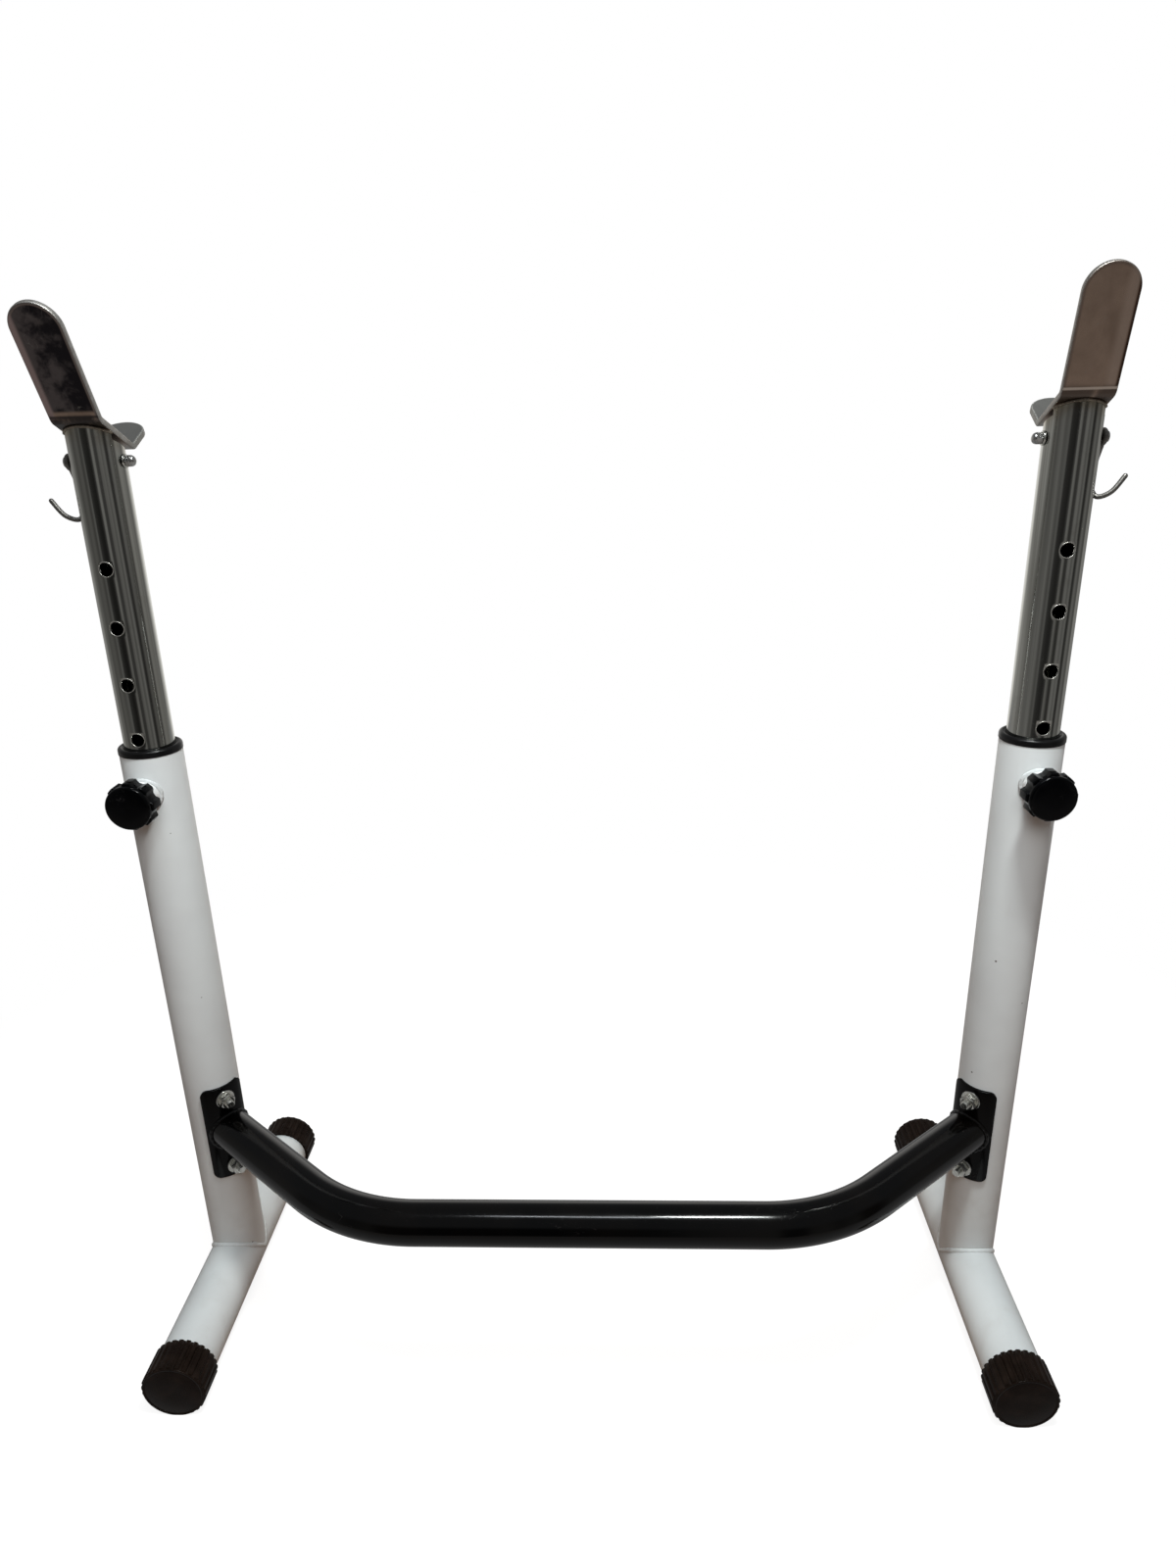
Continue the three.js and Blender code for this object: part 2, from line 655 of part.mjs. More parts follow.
// Bolt, washer and nut through the upright at one height of the bracket.
function bracketFasteners(side, level, height) {
  const group = new THREE.Group();
  group.position.z = height;
  const washerSeat = bracketRadius + clearance;
  const nutSeat = washerSeat + frameWasherThickness + clearance;
  const headSeat = frameTubeRadius + clearance;
  const length = headSeat + nutSeat + frameNutHeight + frameBoltEnd;
  const bore = frameBoltRadius + clearance;
  const bolt = piece(`${side}_${level}_bracket_bolt`,
    hexBolt(frameBoltRadius, length, frameNutAcross, frameBoltHead), "zinc");
  bolt.position.x = -headSeat;
  const washer = piece(`${side}_${level}_bracket_washer`,
    roundBar(frameWasherDiameter / 2, 0, frameWasherThickness, tubeFacets / 2, bore), "zinc");
  washer.position.x = washerSeat;
  const nut = piece(`${side}_${level}_bracket_nut`, hexNut(bore, frameNutAcross, frameNutHeight), "zinc");
  nut.position.x = nutSeat;
  for (const mesh of [bolt, washer, nut]) {
    mesh.rotation.y = Math.PI / 2;
    group.add(mesh);
  }
  return group;
}

// Everything bolted through the top of the post, in the side frame.
function hookAssembly(side) {
  const group = new THREE.Group();
  group.position.z = hookBoltHeight;
  const hook = piece(`${side}_wire_hook`, wireHook(), "platedSteel");
  hook.rotation.z = Math.PI;
  const headSeat = wirePlace + wireDiameter / 2 + clearance;
  const washerSeat = postRadius + clearance;
  const nutSeat = washerSeat + hookWasherThickness + clearance;
  const bolt = piece(`${side}_hook_bolt`, roundHeadBolt(headSeat + nutSeat + capNutHexHeight - clearance), "zinc");
  bolt.position.x = -headSeat;
  const washer = piece(`${side}_hook_washer`,
    roundBar(hookWasherDiameter / 2, 0, hookWasherThickness, screwFacets, hookBoltRadius + clearance), "zinc");
  washer.position.x = washerSeat;
  const nut = piece(`${side}_hook_cap_nut`, capNut(), "chrome");
  nut.position.x = nutSeat;
  for (const mesh of [bolt, washer, nut]) {
    mesh.rotation.y = Math.PI / 2;
    group.add(mesh);
  }
  group.add(hook);
  return group;
}

// One side frame with its post. Its x axis points to the other side; the right one is a mirror image.
function sideFrame(side) {
  const group = new THREE.Group();
  const mirror = side === "left" ? 1 : -1;
  group.position.x = (-mirror * uprightSpacing) / 2;
  group.scale.x = mirror;

  const base = piece(`${side}_base_tube`, baseTube(), "whitePaint");
  base.position.z = baseHeight;
  const frontCap = piece(`${side}_front_cap`, endCap(), "blackPlastic");
  const rearCap = piece(`${side}_rear_cap`, endCap(), "blackPlastic");
  const capMouth = baseLength / 2 - capLength;
  frontCap.position.set(0, -capMouth, baseHeight);
  rearCap.position.set(0, capMouth, baseHeight);
  rearCap.rotation.z = Math.PI;
  const collarMesh = piece(`${side}_collar`, collar(), "blackPlastic");
  collarMesh.position.z = uprightTop;

  const knobMesh = piece(`${side}_knob`, knob(), "glossyPlastic");
  knobMesh.position.set(0, -knobBack, pinHeight);
  const pin = piece(`${side}_knob_pin`, lockPin(), "zinc");
  pin.position.set(0, -(postRadius + clearance), pinHeight);
  for (const mesh of [knobMesh, pin]) mesh.rotation.x = Math.PI / 2;

  const cup = piece(`${side}_bar_cup`, barCup(plateLean[side]), "platedSteel");
  const twist = cupTwist[side];
  cup.position.set(-cupBendPlace * Math.sin(radians(twist)), cupBendPlace * Math.cos(radians(twist)), cupBendHeight);
  cup.rotation.z = radians(twist);

  const bracket = new THREE.Group();
  bracket.position.z = crossbarHeight;
  bracket.rotation.z = -radians(bracketAngle);
  bracket.add(
    piece(`${side}_saddle_plate`, saddlePlate(), "blackPaint"),
    bracketFasteners(side, "upper", frameBoltRise),
    bracketFasteners(side, "lower", -frameBoltRise),
  );

  group.add(
    base,
    frontCap,
    rearCap,
    piece(`${side}_upright`, upright(), "whitePaint"),
    piece(`${side}_knob_boss`, knobBoss(), "whitePaint"),
    collarMesh,
    pin,
    knobMesh,
    piece(`${side}_post`, post(twist), "chrome"),
    piece(`${side}_post_guide`, postGuide(), "blackPlastic"),
    cup,
    hookAssembly(side),
    bracket,
  );
  return group;
}

const squatStand = new THREE.Group();
squatStand.name = "squat_stand";
squatStand.add(sideFrame("left"), sideFrame("right"), piece("crossbar", crossbar(), "blackPaint"));

export default squatStand;
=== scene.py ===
import math

import bmesh
import bpy
from mathutils import Matrix, Vector, noise


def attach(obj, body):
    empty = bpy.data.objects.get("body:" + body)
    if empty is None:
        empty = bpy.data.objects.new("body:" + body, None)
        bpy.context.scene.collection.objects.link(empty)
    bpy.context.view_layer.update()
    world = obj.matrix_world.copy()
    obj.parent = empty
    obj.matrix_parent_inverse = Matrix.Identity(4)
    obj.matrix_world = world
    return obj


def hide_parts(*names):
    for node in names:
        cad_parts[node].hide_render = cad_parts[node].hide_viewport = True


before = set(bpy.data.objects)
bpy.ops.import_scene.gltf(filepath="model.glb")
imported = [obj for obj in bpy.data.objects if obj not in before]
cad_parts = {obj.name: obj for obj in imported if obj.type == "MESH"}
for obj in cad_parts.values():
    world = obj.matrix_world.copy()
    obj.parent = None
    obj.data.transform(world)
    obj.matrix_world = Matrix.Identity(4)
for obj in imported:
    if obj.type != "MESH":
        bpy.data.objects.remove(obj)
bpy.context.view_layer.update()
print("frame loaded with", len(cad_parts), "nodes")

# Shapes are worked out in millimetres. A side frame has its origin on the floor under its upright,
# x towards the other side frame, y to the rear; the right one is the left one's mirror image.
millimetre = 0.001
stand = {
    "uprightSpacing": 870,
    "tubeRadius": 30,
    "boreRadius": 28,
    "baseHeight": 31.5,
    "uprightTop": 667,
    "postRadius": 24,
    "pinHeight": 629.5,
    "hookBoltHeight": 943.5,
    "crossbarHeight": 220,
    "bracketAngle": 45,
    "bracketRadius": 33.3,
    "bracketBoltRise": 44.5,
    "cupBend": (-28, 977),  # y and z of the underside of the bend between plate and saddle
    "cupTwist": {"left": 0, "right": 4},
    "saddleFall": 24.3,
}
mirrors = {"left": 1, "right": -1}


def placed(x=0, y=0, z=0):
    return Matrix.Translation((x, y, z))


def turnedBy(degrees, axis):
    return Matrix.Rotation(math.radians(degrees), 4, axis)


def moved(bm, matrix):
    bmesh.ops.transform(bm, matrix=matrix, verts=bm.verts)


def around(angle, radius=1.0, height=0.0):
    # the place at that angle on a circle round the Z axis
    return Vector((radius * math.cos(angle), radius * math.sin(angle), height))


def facing(direction, reference):
    # columns: reference made square to the direction, their cross, the direction
    forward = Vector(direction).normalized()
    first = Vector(reference)
    first = (first - forward * first.dot(forward)).normalized()
    return Matrix((first, forward.cross(first), forward)).transposed().to_4x4()


def spun(profile, steps, closed=True):
    # a profile of (radius, height) spun round the Z axis
    bm = bmesh.new()
    verts = [bm.verts.new((radius, 0, height)) for radius, height in profile]
    pairs = list(zip(verts, verts[1:]))
    if closed:
        pairs.append((verts[-1], verts[0]))
    edges = [bm.edges.new(pair) for pair in pairs]
    bmesh.ops.spin(bm, geom=verts + edges, cent=(0, 0, 0), axis=(0, 0, 1), angle=math.tau,
                   steps=steps, use_merge=True, use_duplicate=False)
    bmesh.ops.remove_doubles(bm, verts=bm.verts, dist=0.0005)
    return bm


def rounded(bm, picked, width, segments):
    # bevels the edges whose two ends are both picked
    edges = [e for e in bm.edges if picked(e.verts[0].co) and picked(e.verts[1].co)]
    bmesh.ops.bevel(bm, geom=edges, offset=width, offset_type="OFFSET", affect="EDGES",
                    segments=segments, profile=0.5, material=-1, clamp_overlap=True)


def onRing(radius, height):
    return lambda co: abs(math.hypot(co.x, co.y) - radius) < 0.01 and abs(co.z - height) < 0.01


def grown(bm, edges):
    # a loop of open edges drawn out once more: its new vertices and edges
    made = bmesh.ops.extrude_edge_only(bm, edges=edges)["geom"]
    return ([g for g in made if isinstance(g, bmesh.types.BMVert)],
            [g for g in made if isinstance(g, bmesh.types.BMEdge)])


def thickened(bm, thickness):
    made = bmesh.ops.extrude_face_region(bm, geom=bm.faces[:])["geom"]
    bmesh.ops.translate(bm, vec=(0, 0, thickness), verts=[g for g in made if isinstance(g, bmesh.types.BMVert)])


def cutAt(bm, place, direction):
    bmesh.ops.bisect_plane(bm, geom=bm.verts[:] + bm.edges[:] + bm.faces[:], dist=0.0001,
                           plane_co=place, plane_no=direction)


def carried(places, segments, endless=False):
    # a ring of radius 1 carried from place to place, each a matrix with its own scale
    bm = bmesh.new()
    bmesh.ops.create_circle(bm, cap_ends=False, segments=segments, radius=1)
    firstEdges = edges = bm.edges[:]
    moved(bm, places[0])
    for before, after in zip(places, places[1:]):
        ring, edges = grown(bm, edges)
        bmesh.ops.transform(bm, matrix=after @ before.inverted(), verts=ring)
    if endless:
        bmesh.ops.bridge_loops(bm, edges=firstEdges + edges)
    else:
        bmesh.ops.holes_fill(bm, edges=bm.edges, sides=0)
    return bm


def along(points, radius, reference, tip=0):
    # places for a bar of that radius along the points; tip rounds the far end
    places = []
    for i, point in enumerate(points):
        before, after = points[max(i - 1, 0)], points[min(i + 1, len(points) - 1)]
        turn = facing(after - before, reference)
        places.append(Matrix.Translation(point) @ turn @ Matrix.Scale(radius, 4))
    forward = (points[-1] - points[-2]).normalized()
    for step in range(1, tip + 1):
        angle = math.radians(86 * step / tip)
        end = points[-1] + forward * radius * math.sin(angle)
        places.append(Matrix.Translation(end) @ turn @ Matrix.Scale(radius * math.cos(angle), 4))
    return places


def bead(spots, radius, ripple, spacing, endless=True):
    # a weld bead: rounded ripples laid one on the next; each spot is a place and the way out from the metal
    places = []
    travelled = 0
    points = [point for point, out in spots]
    last = len(spots) - 1
    for i, (point, out) in enumerate(spots):
        if endless:
            tangent = points[(i + 1) % len(spots)] - points[i - 1]
        else:
            tangent = points[min(i + 1, last)] - points[max(i - 1, 0)]
        if i:
            travelled += (point - points[i - 1]).length
        swell = abs(math.sin(math.pi * travelled / spacing)) * ripple
        wander = noise.noise(point * 0.11) * ripple
        size = radius * (1 - ripple / 2 + swell + wander)
        places.append(Matrix.Translation(point) @ facing(tangent, out) @ Matrix.Scale(size, 4))
    return carried(places, 10, endless)


def ringOf(spot, steps):
    return [spot(math.tau * i / steps) for i in range(steps)]


def smoothPath(points, steps):
    # a centripetal curve through the points
    padded = [2 * points[0] - points[1], *points, 2 * points[-1] - points[-2]]
    path = []
    for a, b, c, d in zip(padded, padded[1:], padded[2:], padded[3:]):
        ta = 0
        tb = ta + (b - a).length ** 0.5
        tc = tb + (c - b).length ** 0.5
        td = tc + (d - c).length ** 0.5
        for i in range(steps):
            t = tb + (tc - tb) * i / steps
            ab = a.lerp(b, (t - ta) / (tb - ta))
            bc = b.lerp(c, (t - tb) / (tc - tb))
            cd = c.lerp(d, (t - tc) / (td - tc))
            first, second = ab.lerp(bc, (t - ta) / (tc - ta)), bc.lerp(cd, (t - tb) / (td - tb))
            path.append(first.lerp(second, (t - tb) / (tc - tb)))
    return [*path, points[-1]]


def joinInto(bm, *others):
    for other in others:
        held = bpy.data.meshes.new("held")
        other.to_mesh(held)
        other.free()
        bm.from_mesh(held)
        bpy.data.meshes.remove(held)
    return bm


def linked(name, data):
    made = bpy.data.objects.new(name, data)
    bpy.context.scene.collection.objects.link(made)
    return made


def meshObject(name, bm):
    mesh = bpy.data.meshes.new(name)
    bm.to_mesh(mesh)
    bm.free()
    return linked(name, mesh), mesh


def keepPiece(bm, name, side, finish, body, nodes=(), crease=35):
    # the finished piece: merged, faces outwards, in place and in metres
    bmesh.ops.remove_doubles(bm, verts=bm.verts, dist=0.0005)
    bmesh.ops.recalc_face_normals(bm, faces=bm.faces)
    mirror = mirrors.get(side, 1)
    if side:
        moved(bm, placed(-mirror * stand["uprightSpacing"] / 2) @ Matrix.Scale(mirror, 4, (1, 0, 0)))
    if mirror < 0:
        bmesh.ops.reverse_faces(bm, faces=bm.faces)
    bmesh.ops.scale(bm, vec=(millimetre,) * 3, verts=bm.verts)
    piece, mesh = meshObject(side + name if side else name, bm)
    mesh.shade_smooth()
    mesh.set_sharp_from_angle(angle=math.radians(crease))
    mesh.materials.append(finish)
    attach(piece, body)
    if nodes:
        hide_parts(*nodes)
    return piece


class Wire:  # a socket of one material, which can be added and multiplied like a number
    def __init__(self, tree, socket=None):
        self.tree, self.socket = tree, socket

    def node(self, kind, settings=None, values=None, output=0):
        made = self.tree.nodes.new(kind)
        for key, value in (settings or {}).items():
            if key == "stops":
                ramp = made.color_ramp.elements
                while len(ramp) < len(value):
                    ramp.new(0.5)
                for element, (place, shade) in zip(ramp, value):
                    element.position = place
                    element.color = (*shade, 1) if isinstance(shade, tuple) else (shade, shade, shade, 1)
            else:
                setattr(made, key, value)
        for key, value in (values or {}).items():
            if isinstance(value, Wire):
                self.tree.links.new(value.socket, made.inputs[key])
            else:
                made.inputs[key].default_value = value
        return Wire(self.tree, made.outputs[output])

    def maths(self, operation, *others):
        return self.node("ShaderNodeMath", {"operation": operation}, dict(enumerate((self, *others))))

    def __add__(self, other):
        return self.maths("ADD", other)

    def __sub__(self, other):
        return self.maths("SUBTRACT", other)

    def __rsub__(self, other):
        return self.node("ShaderNodeMath", {"operation": "SUBTRACT"}, {0: other, 1: self})

    def __mul__(self, other):
        return self.maths("MULTIPLY", other)

    def __truediv__(self, other):
        return self.maths("DIVIDE", other)

    __radd__ = __add__
    __rmul__ = __mul__


def stretched(place, scale, shift=(0, 0, 0)):
    return place.node("ShaderNodeMapping", values={"Vector": place, "Scale": scale, "Location": shift})


def clouds(place, scale, detail=4, roughness=0.55, distortion=0):
    return place.node("ShaderNodeTexNoise", values={"Vector": place, "Scale": scale, "Detail": detail,
                                                    "Roughness": roughness, "Distortion": distortion})


def between(value, low, high):
    # 0 below low, 1 above high, smooth in between; low may be the larger
    return value.node("ShaderNodeMapRange", {"interpolation_type": "SMOOTHSTEP"},
                      {"Value": value, "From Min": low, "From Max": high})


def mixed(factor, first, second):
    some = next(item for item in (factor, first, second) if isinstance(item, Wire))
    first, second = [(*item, 1) if isinstance(item, tuple) else item for item in (first, second)]
    return some.node("ShaderNodeMix", {"data_type": "RGBA"}, {0: factor, 6: first, 7: second}, output=2)


def ramped(value, stops):
    return value.node("ShaderNodeValToRGB", {"stops": stops}, {"Fac": value})


def axesOf(place):
    split = place.node("ShaderNodeSeparateXYZ", values={"Vector": place})
    return [Wire(place.tree, output) for output in split.socket.node.outputs]


def bumped(height, strength, distance):
    return height.node("ShaderNodeBump", values={"Height": height, "Strength": strength, "Distance": distance})


def newPaint(name):
    # a new material and the place on the piece, from which its other sockets are made
    material = bpy.data.materials.new(name)
    material.use_nodes = True
    return material, Wire(material.node_tree).node("ShaderNodeTexCoord", output="Object")


def applyPaint(material, **inputs):
    shader = material.node_tree.nodes["Principled BSDF"]
    for key, value in inputs.items():
        socket = shader.inputs[key.replace("_", " ")]
        if isinstance(value, Wire):
            material.node_tree.links.new(value.socket, socket)
        else:
            socket.default_value = (*value, 1) if isinstance(value, tuple) else value
    return material


def scratchesOn(place, scale, share):
    # thin scratches: the zero lines of a stretched noise, broken up by a second one
    lines = clouds(place, scale, 2, 0.5, 0.6)
    thin = between((lines - 0.5).maths("ABSOLUTE"), 0.004, 0.0)
    return thin * between(clouds(place, scale * 0.37, 2), 1 - share, 1 - share + 0.08)


whiteCoat = {
    "colour": (0.72, 0.755, 0.76),
    "shade": (0.66, 0.685, 0.69),
    # painted highlight: a paler white for the knob boss, in place of the light on its top
    "paintedLitWhite": (0.91, 0.93, 0.93),
    "grime": (0.33, 0.28, 0.24),
    "speck": (0.09, 0.075, 0.065),
    "roughness": 0.34,
    "specular": 0.08,
}


def whiteCoatPaint(name, grimeFrom, grimeTo, gloss=0.0, shade=whiteCoat["shade"], base=whiteCoat["colour"]):
    # powder coat: slight orange peel, clouds of dirt low down, a few dark nicks
    material, place = newPaint(name)
    height = axesOf(place)[2]
    tone = clouds(place, 9, 3)
    colour = mixed(between(tone, 0.35, 0.7), base, shade)
    dirt = between(clouds(place, 26, 5, 0.62), 0.52, 0.78) * between(height, grimeTo, grimeFrom)
    colour = mixed(dirt * 0.14, colour, whiteCoat["grime"])
    smear = between(clouds(stretched(place, (1, 1, 0.12)), 130, 3, 0.6), 0.63, 0.8)
    colour = mixed(smear * 0.06, colour, whiteCoat["grime"])
    spots = place.node("ShaderNodeTexVoronoi", {"feature": "F1"}, {"Vector": place, "Scale": 42.0})
    nicks = between(spots, 0.055, 0.035) * between(clouds(place, 17, 2), 0.56, 0.6)
    colour = mixed(nicks * 0.8, colour, whiteCoat["speck"])
    scratches = scratchesOn(stretched(place, (1, 1, 0.35)), 60, 0.42)
    peel = clouds(place, 820, 2, 0.4)
    waves = clouds(place, 150, 2, 0.4)
    normal = bumped(peel * 0.4 + waves * 0.6 - nicks * 0.8 - scratches * 0.15, 0.35, 0.00012)
    roughness = whiteCoat["roughness"] - gloss + (tone - 0.5) * 0.12 + dirt * 0.2 + smear * 0.12 + scratches * 0.1
    return applyPaint(material, Base_Color=colour, Roughness=roughness, Normal=normal,
                      Specular_IOR_Level=whiteCoat["specular"])


blackCoat = {
    "colour": (0.0004, 0.0004, 0.0005),
    "worn": (0.0017, 0.0012, 0.0010),
    "dust": (0.14, 0.13, 0.12),
    "roughness": 0.125,
    "specular": 0.3,
}


def blackCoatPaint(name, gloss=0.0, specular=blackCoat["specular"]):
    # black powder coat: satin, a little dust on what faces up, hairline rubs
    material, place = newPaint(name)
    up = axesOf(place.node("ShaderNodeNewGeometry", output="Normal"))[2]
    tone = clouds(place, 14, 4)
    colour = mixed(between(tone, 0.4, 0.72), blackCoat["colour"], blackCoat["worn"])
    dust = between(clouds(place, 420, 3, 0.7), 0.6, 0.78) * between(up, 0.3, 0.95)
    colour = mixed(dust * 0.01, colour, blackCoat["dust"])
    scratches = scratchesOn(stretched(place, (0.4, 1, 1)), 85, 0.4)
    colour = mixed(scratches * 0.15, colour, blackCoat["dust"])
    peel = clouds(place, 760, 2, 0.45)
    waves = clouds(place, 170, 2)
    normal = bumped(peel * 0.3 + waves * 0.7 - scratches * 0.2, 0.14, 0.00014)
    roughness = blackCoat["roughness"] - gloss + (tone - 0.5) * 0.14 + dust * 0.25 + scratches * 0.15
    return applyPaint(material, Base_Color=colour, Roughness=roughness, Normal=normal, Specular_IOR_Level=specular)


chrome = {
    "bright": (0.60, 0.605, 0.575),
    "dull": (0.36, 0.36, 0.335),
    "stain": (0.16, 0.125, 0.09),
    "heat": (0.30, 0.235, 0.15),
    "roughness": 0.055,
}


def chromePaint(name, shift):
    # thin chrome on drawn tube: draw lines along the post, with pale and dark lengthwise bands painted in as
    # reflections, stained clouds, rubbed rings from the collar
    material, place = newPaint(name)
    y, z = axesOf(place)[1:]
    lengthways = stretched(place, (1, 1, 0.012), shift)
    lines = clouds(lengthways, 62, 3, 0.6)
    fineLines = clouds(lengthways, 420, 3, 0.65)
    dull, bright = chrome["dull"], chrome["bright"]
    # painted reflection: lengthwise pale and dark bands in the colour stand in for the room mirrored in the chrome,
    # along with real draw lines
    colour = ramped(lines, [(0.36, dull), (0.5, bright), (0.62, dull), (0.72, bright)])
    colour = mixed(between(fineLines, 0.52, 0.72) * 0.35, colour, dull)
    tone = clouds(place, 30, 5, 0.65)
    clouded = between(tone, 0.55, 0.8)
    colour = mixed(clouded * 0.25, colour, chrome["stain"])
    nearCup = between(z + y * 0.4515, 0.945, 0.9635) * between(tone, 0.3, 0.6)
    colour = mixed(nearCup * 0.75, colour, chrome["heat"])
    rings = clouds(stretched(place, (0.15, 0.15, 1)), 900, 2, 0.6)
    rubbed = between(clouds(place, 45, 3), 0.5, 0.72) * between(rings, 0.5, 0.66)
    scratches = scratchesOn(stretched(place, (1, 1, 0.5)), 120, 0.5)
    normal = bumped(fineLines * 0.6 + lines * 0.8 - scratches * 0.25, 0.22, 0.00008)
    roughness = chrome["roughness"] + clouded * 0.08 + rubbed * 0.07 + nearCup * 0.12
    roughness = roughness + fineLines * 0.03 + scratches * 0.12
    return applyPaint(material, Base_Color=colour, Metallic=1.0, Roughness=roughness, Normal=normal)


cupSteel = {
    "tarnish": (0.022, 0.020, 0.023),
    "tarnishPale": (0.125, 0.110, 0.110),
    "brown": (0.44, 0.325, 0.255),
    "deepBrown": (0.34, 0.245, 0.19),
    "pale": (0.46, 0.455, 0.43),
    "heat": {"left": (0.055, 0.046, 0.043), "right": (0.15, 0.115, 0.095)},
    "border": {"left": (0.24, 0.205, 0.19), "right": (0.30, 0.225, 0.185)},
    # the strip's edges and sides: pale with a painted highlight on the left cup, darker with painted shade on the right
    "wall": {"left": (0.60, 0.59, 0.565), "right": (0.30, 0.27, 0.25)},
    # the crease line along the bend's front: a pale painted highlight on the right cup, a dark painted shade on the
    # left
    "crease": {"left": (0.05, 0.044, 0.045), "right": (0.9, 0.78, 0.68)},
    "outer": {"left": (0.40, 0.31, 0.30), "right": (0.09, 0.05, 0.035), "pale": (0.62, 0.49, 0.41)},
    "edge": (0.42, 0.40, 0.37),
    "rim": {"left": (-14.5, -18), "right": (-19.2, -20.6)},  # where the outer rim starts and is full, in mm
    "roughness": 0.30,
}


def cupSteelPaint(name, side, plate, total):
    # plated flat steel; the "flat" attribute is the strip before bending: x across, y along, z through, in mm
    material, place = newPaint(name)
    flat = place.node("ShaderNodeAttribute", {"attribute_name": "flat"}, output="Vector")
    across, lengthways, through = axesOf(flat)
    width = cupSizes["width"] / 2
    beyond = ((lengthways - total / 2).maths("ABSOLUTE") - (total / 2 - width)).maths("MAXIMUM", 0.0)
    inset = width - (across * across + beyond * beyond).maths("SQRT")
    onLip = between(lengthways, plate + 40, plate + 62)
    front = between(through, 3.4, 2.6)
    tone = clouds(place, 38, 5, 0.6, 0.4)
    brushed = clouds(stretched(flat, (0.9, 0.02, 1)), 2.4, 3, 0.6)
    body = mixed(between(tone, 0.3, 0.75), cupSteel["brown"], cupSteel["deepBrown"])
    body = mixed(onLip, body, cupSteel["pale"])
    upper = between(lengthways, plate + 6, plate - 2)
    body = mixed(upper * between(inset, 3.4, 1.8), body, cupSteel["border"][side])
    tarnished = between(inset, 1.6, 3.2) * between(lengthways, plate - 4, plate - 8) * front
    patches = between(clouds(place, 78, 6, 0.62, 0.25) - across * 0.008, 0.36, 0.66)
    dark = mixed(patches, cupSteel["tarnish"], cupSteel["tarnishPale"])
    if side == "left":
        body = mixed(tarnished * between(clouds(flat, 0.16, 3), 0.12, 0.3), body, dark)
    body = mixed(between(across, *cupSteel["rim"][side]) * upper, body, cupSteel["outer"][side])
    if side == "right":  # the face gets paler just before its dark edge
        paler = between(across, -8, -15) * between(across, -19.6, -18) * upper
        body = mixed(paler * 0.5, body, cupSteel["outer"]["pale"])
    bend = (lengthways - plate - 7).maths("ABSOLUTE")
    body = mixed(between(bend, 13, 7) * between(tone, 0.2, 0.5), body, cupSteel["heat"][side])
    # painted light along the front of the bend: a pale painted highlight line on the right cup, a dark painted shade
    # line on the left
    crease = (lengthways - plate + 1.5).maths("ABSOLUTE")
    body = mixed(between(crease, 1.6, 0.5) * front * 0.8, body, cupSteel["crease"][side])
    # painted light on the strip's edges and sides: a pale painted highlight on the left cup, darker painted shade on
    # the right
    wall = between(inset, 0.9, 0.35) * (1 - onLip)
    body = mixed(wall, body, cupSteel["wall"][side])
    worn = between(inset, 1.1, 0.1) * between(clouds(place, 170, 3), 0.3, 0.6)
    body = mixed(worn * 0.7, body, cupSteel["edge"])
    scratches = scratchesOn(stretched(place, (1, 1, 0.6)), 75, 0.5)
    body = mixed(scratches * 0.5, body, cupSteel["edge"])
    pits = clouds(place, 700, 2, 0.5)
    normal = bumped(tone * 0.5 + brushed * 0.3 + pits * 0.12 - scratches * 0.3, 0.25, 0.0001)
    roughness = cupSteel["roughness"] + (tone - 0.5) * 0.16 + (brushed - 0.5) * 0.12 + scratches * 0.12
    roughness = roughness + onLip * 0.08 + between(inset, 2.2, 0.8) * 0.2
    return applyPaint(material, Base_Color=body, Metallic=1.0, Roughness=roughness, Normal=normal)


def zincPaint(name, colour, roughness, spangled=1.0):
    # zinc on small screws: spangled, greyer in the clouds, a few white bloom specks
    material, place = newPaint(name)
    spangle = place.node("ShaderNodeTexVoronoi", {"feature": "F1"}, {"Vector": place, "Scale": 900.0}, "Color")
    grains = axesOf(spangle)[0]
    tone = clouds(place, 240, 4)
    dark = tuple(channel * (1 - 0.55 * spangled) for channel in colour)
    pale = tuple(min(channel * 1.3, 0.8) for channel in colour)
    shade = mixed(between(tone, 0.32, 0.7), dark, colour)
    shade = mixed(grains * (0.25 * spangled), shade, pale)
    bloom = between(clouds(place, 520, 3), 0.66, 0.74)
    shade = mixed(bloom * (0.4 * spangled), shade, (0.5, 0.49, 0.46))
    normal = bumped(grains * 0.5 + tone, 0.4 * spangled, 0.00006)
    roughness = roughness + grains * 0.14 + bloom * 0.2
    return applyPaint(material, Base_Color=shade, Metallic=1.0, Roughness=roughness, Normal=normal)


def plasticPaint(name, colour, roughness, grain, dusty, specular):
    # moulded plastic: fine grain, pale rub marks, dust in the clouds
    material, place = newPaint(name)
    tone = clouds(place, 60, 4)
    pale = tuple(channel * 1.8 + 0.0004 for channel in colour)
    shade = mixed(between(tone, 0.4, 0.75), colour, pale)
    dust = between(clouds(place, 380, 4, 0.7), 0.56, 0.76)
    shade = mixed(dust * dusty, shade, (0.16, 0.14, 0.125))
    scratches = scratchesOn(place, 140, 0.45)
    shade = mixed(scratches * 0.2, shade, (0.12,) * 3)
    leather = clouds(place, 1500, 2, 0.5)
    normal = bumped(leather * 0.6 + tone * 0.4 - scratches * 0.3, grain, 0.00010)
    return applyPaint(material, Base_Color=shade, Roughness=roughness + dust * 0.15 + (tone - 0.5) * 0.1,
                      Normal=normal, Specular_IOR_Level=specular)


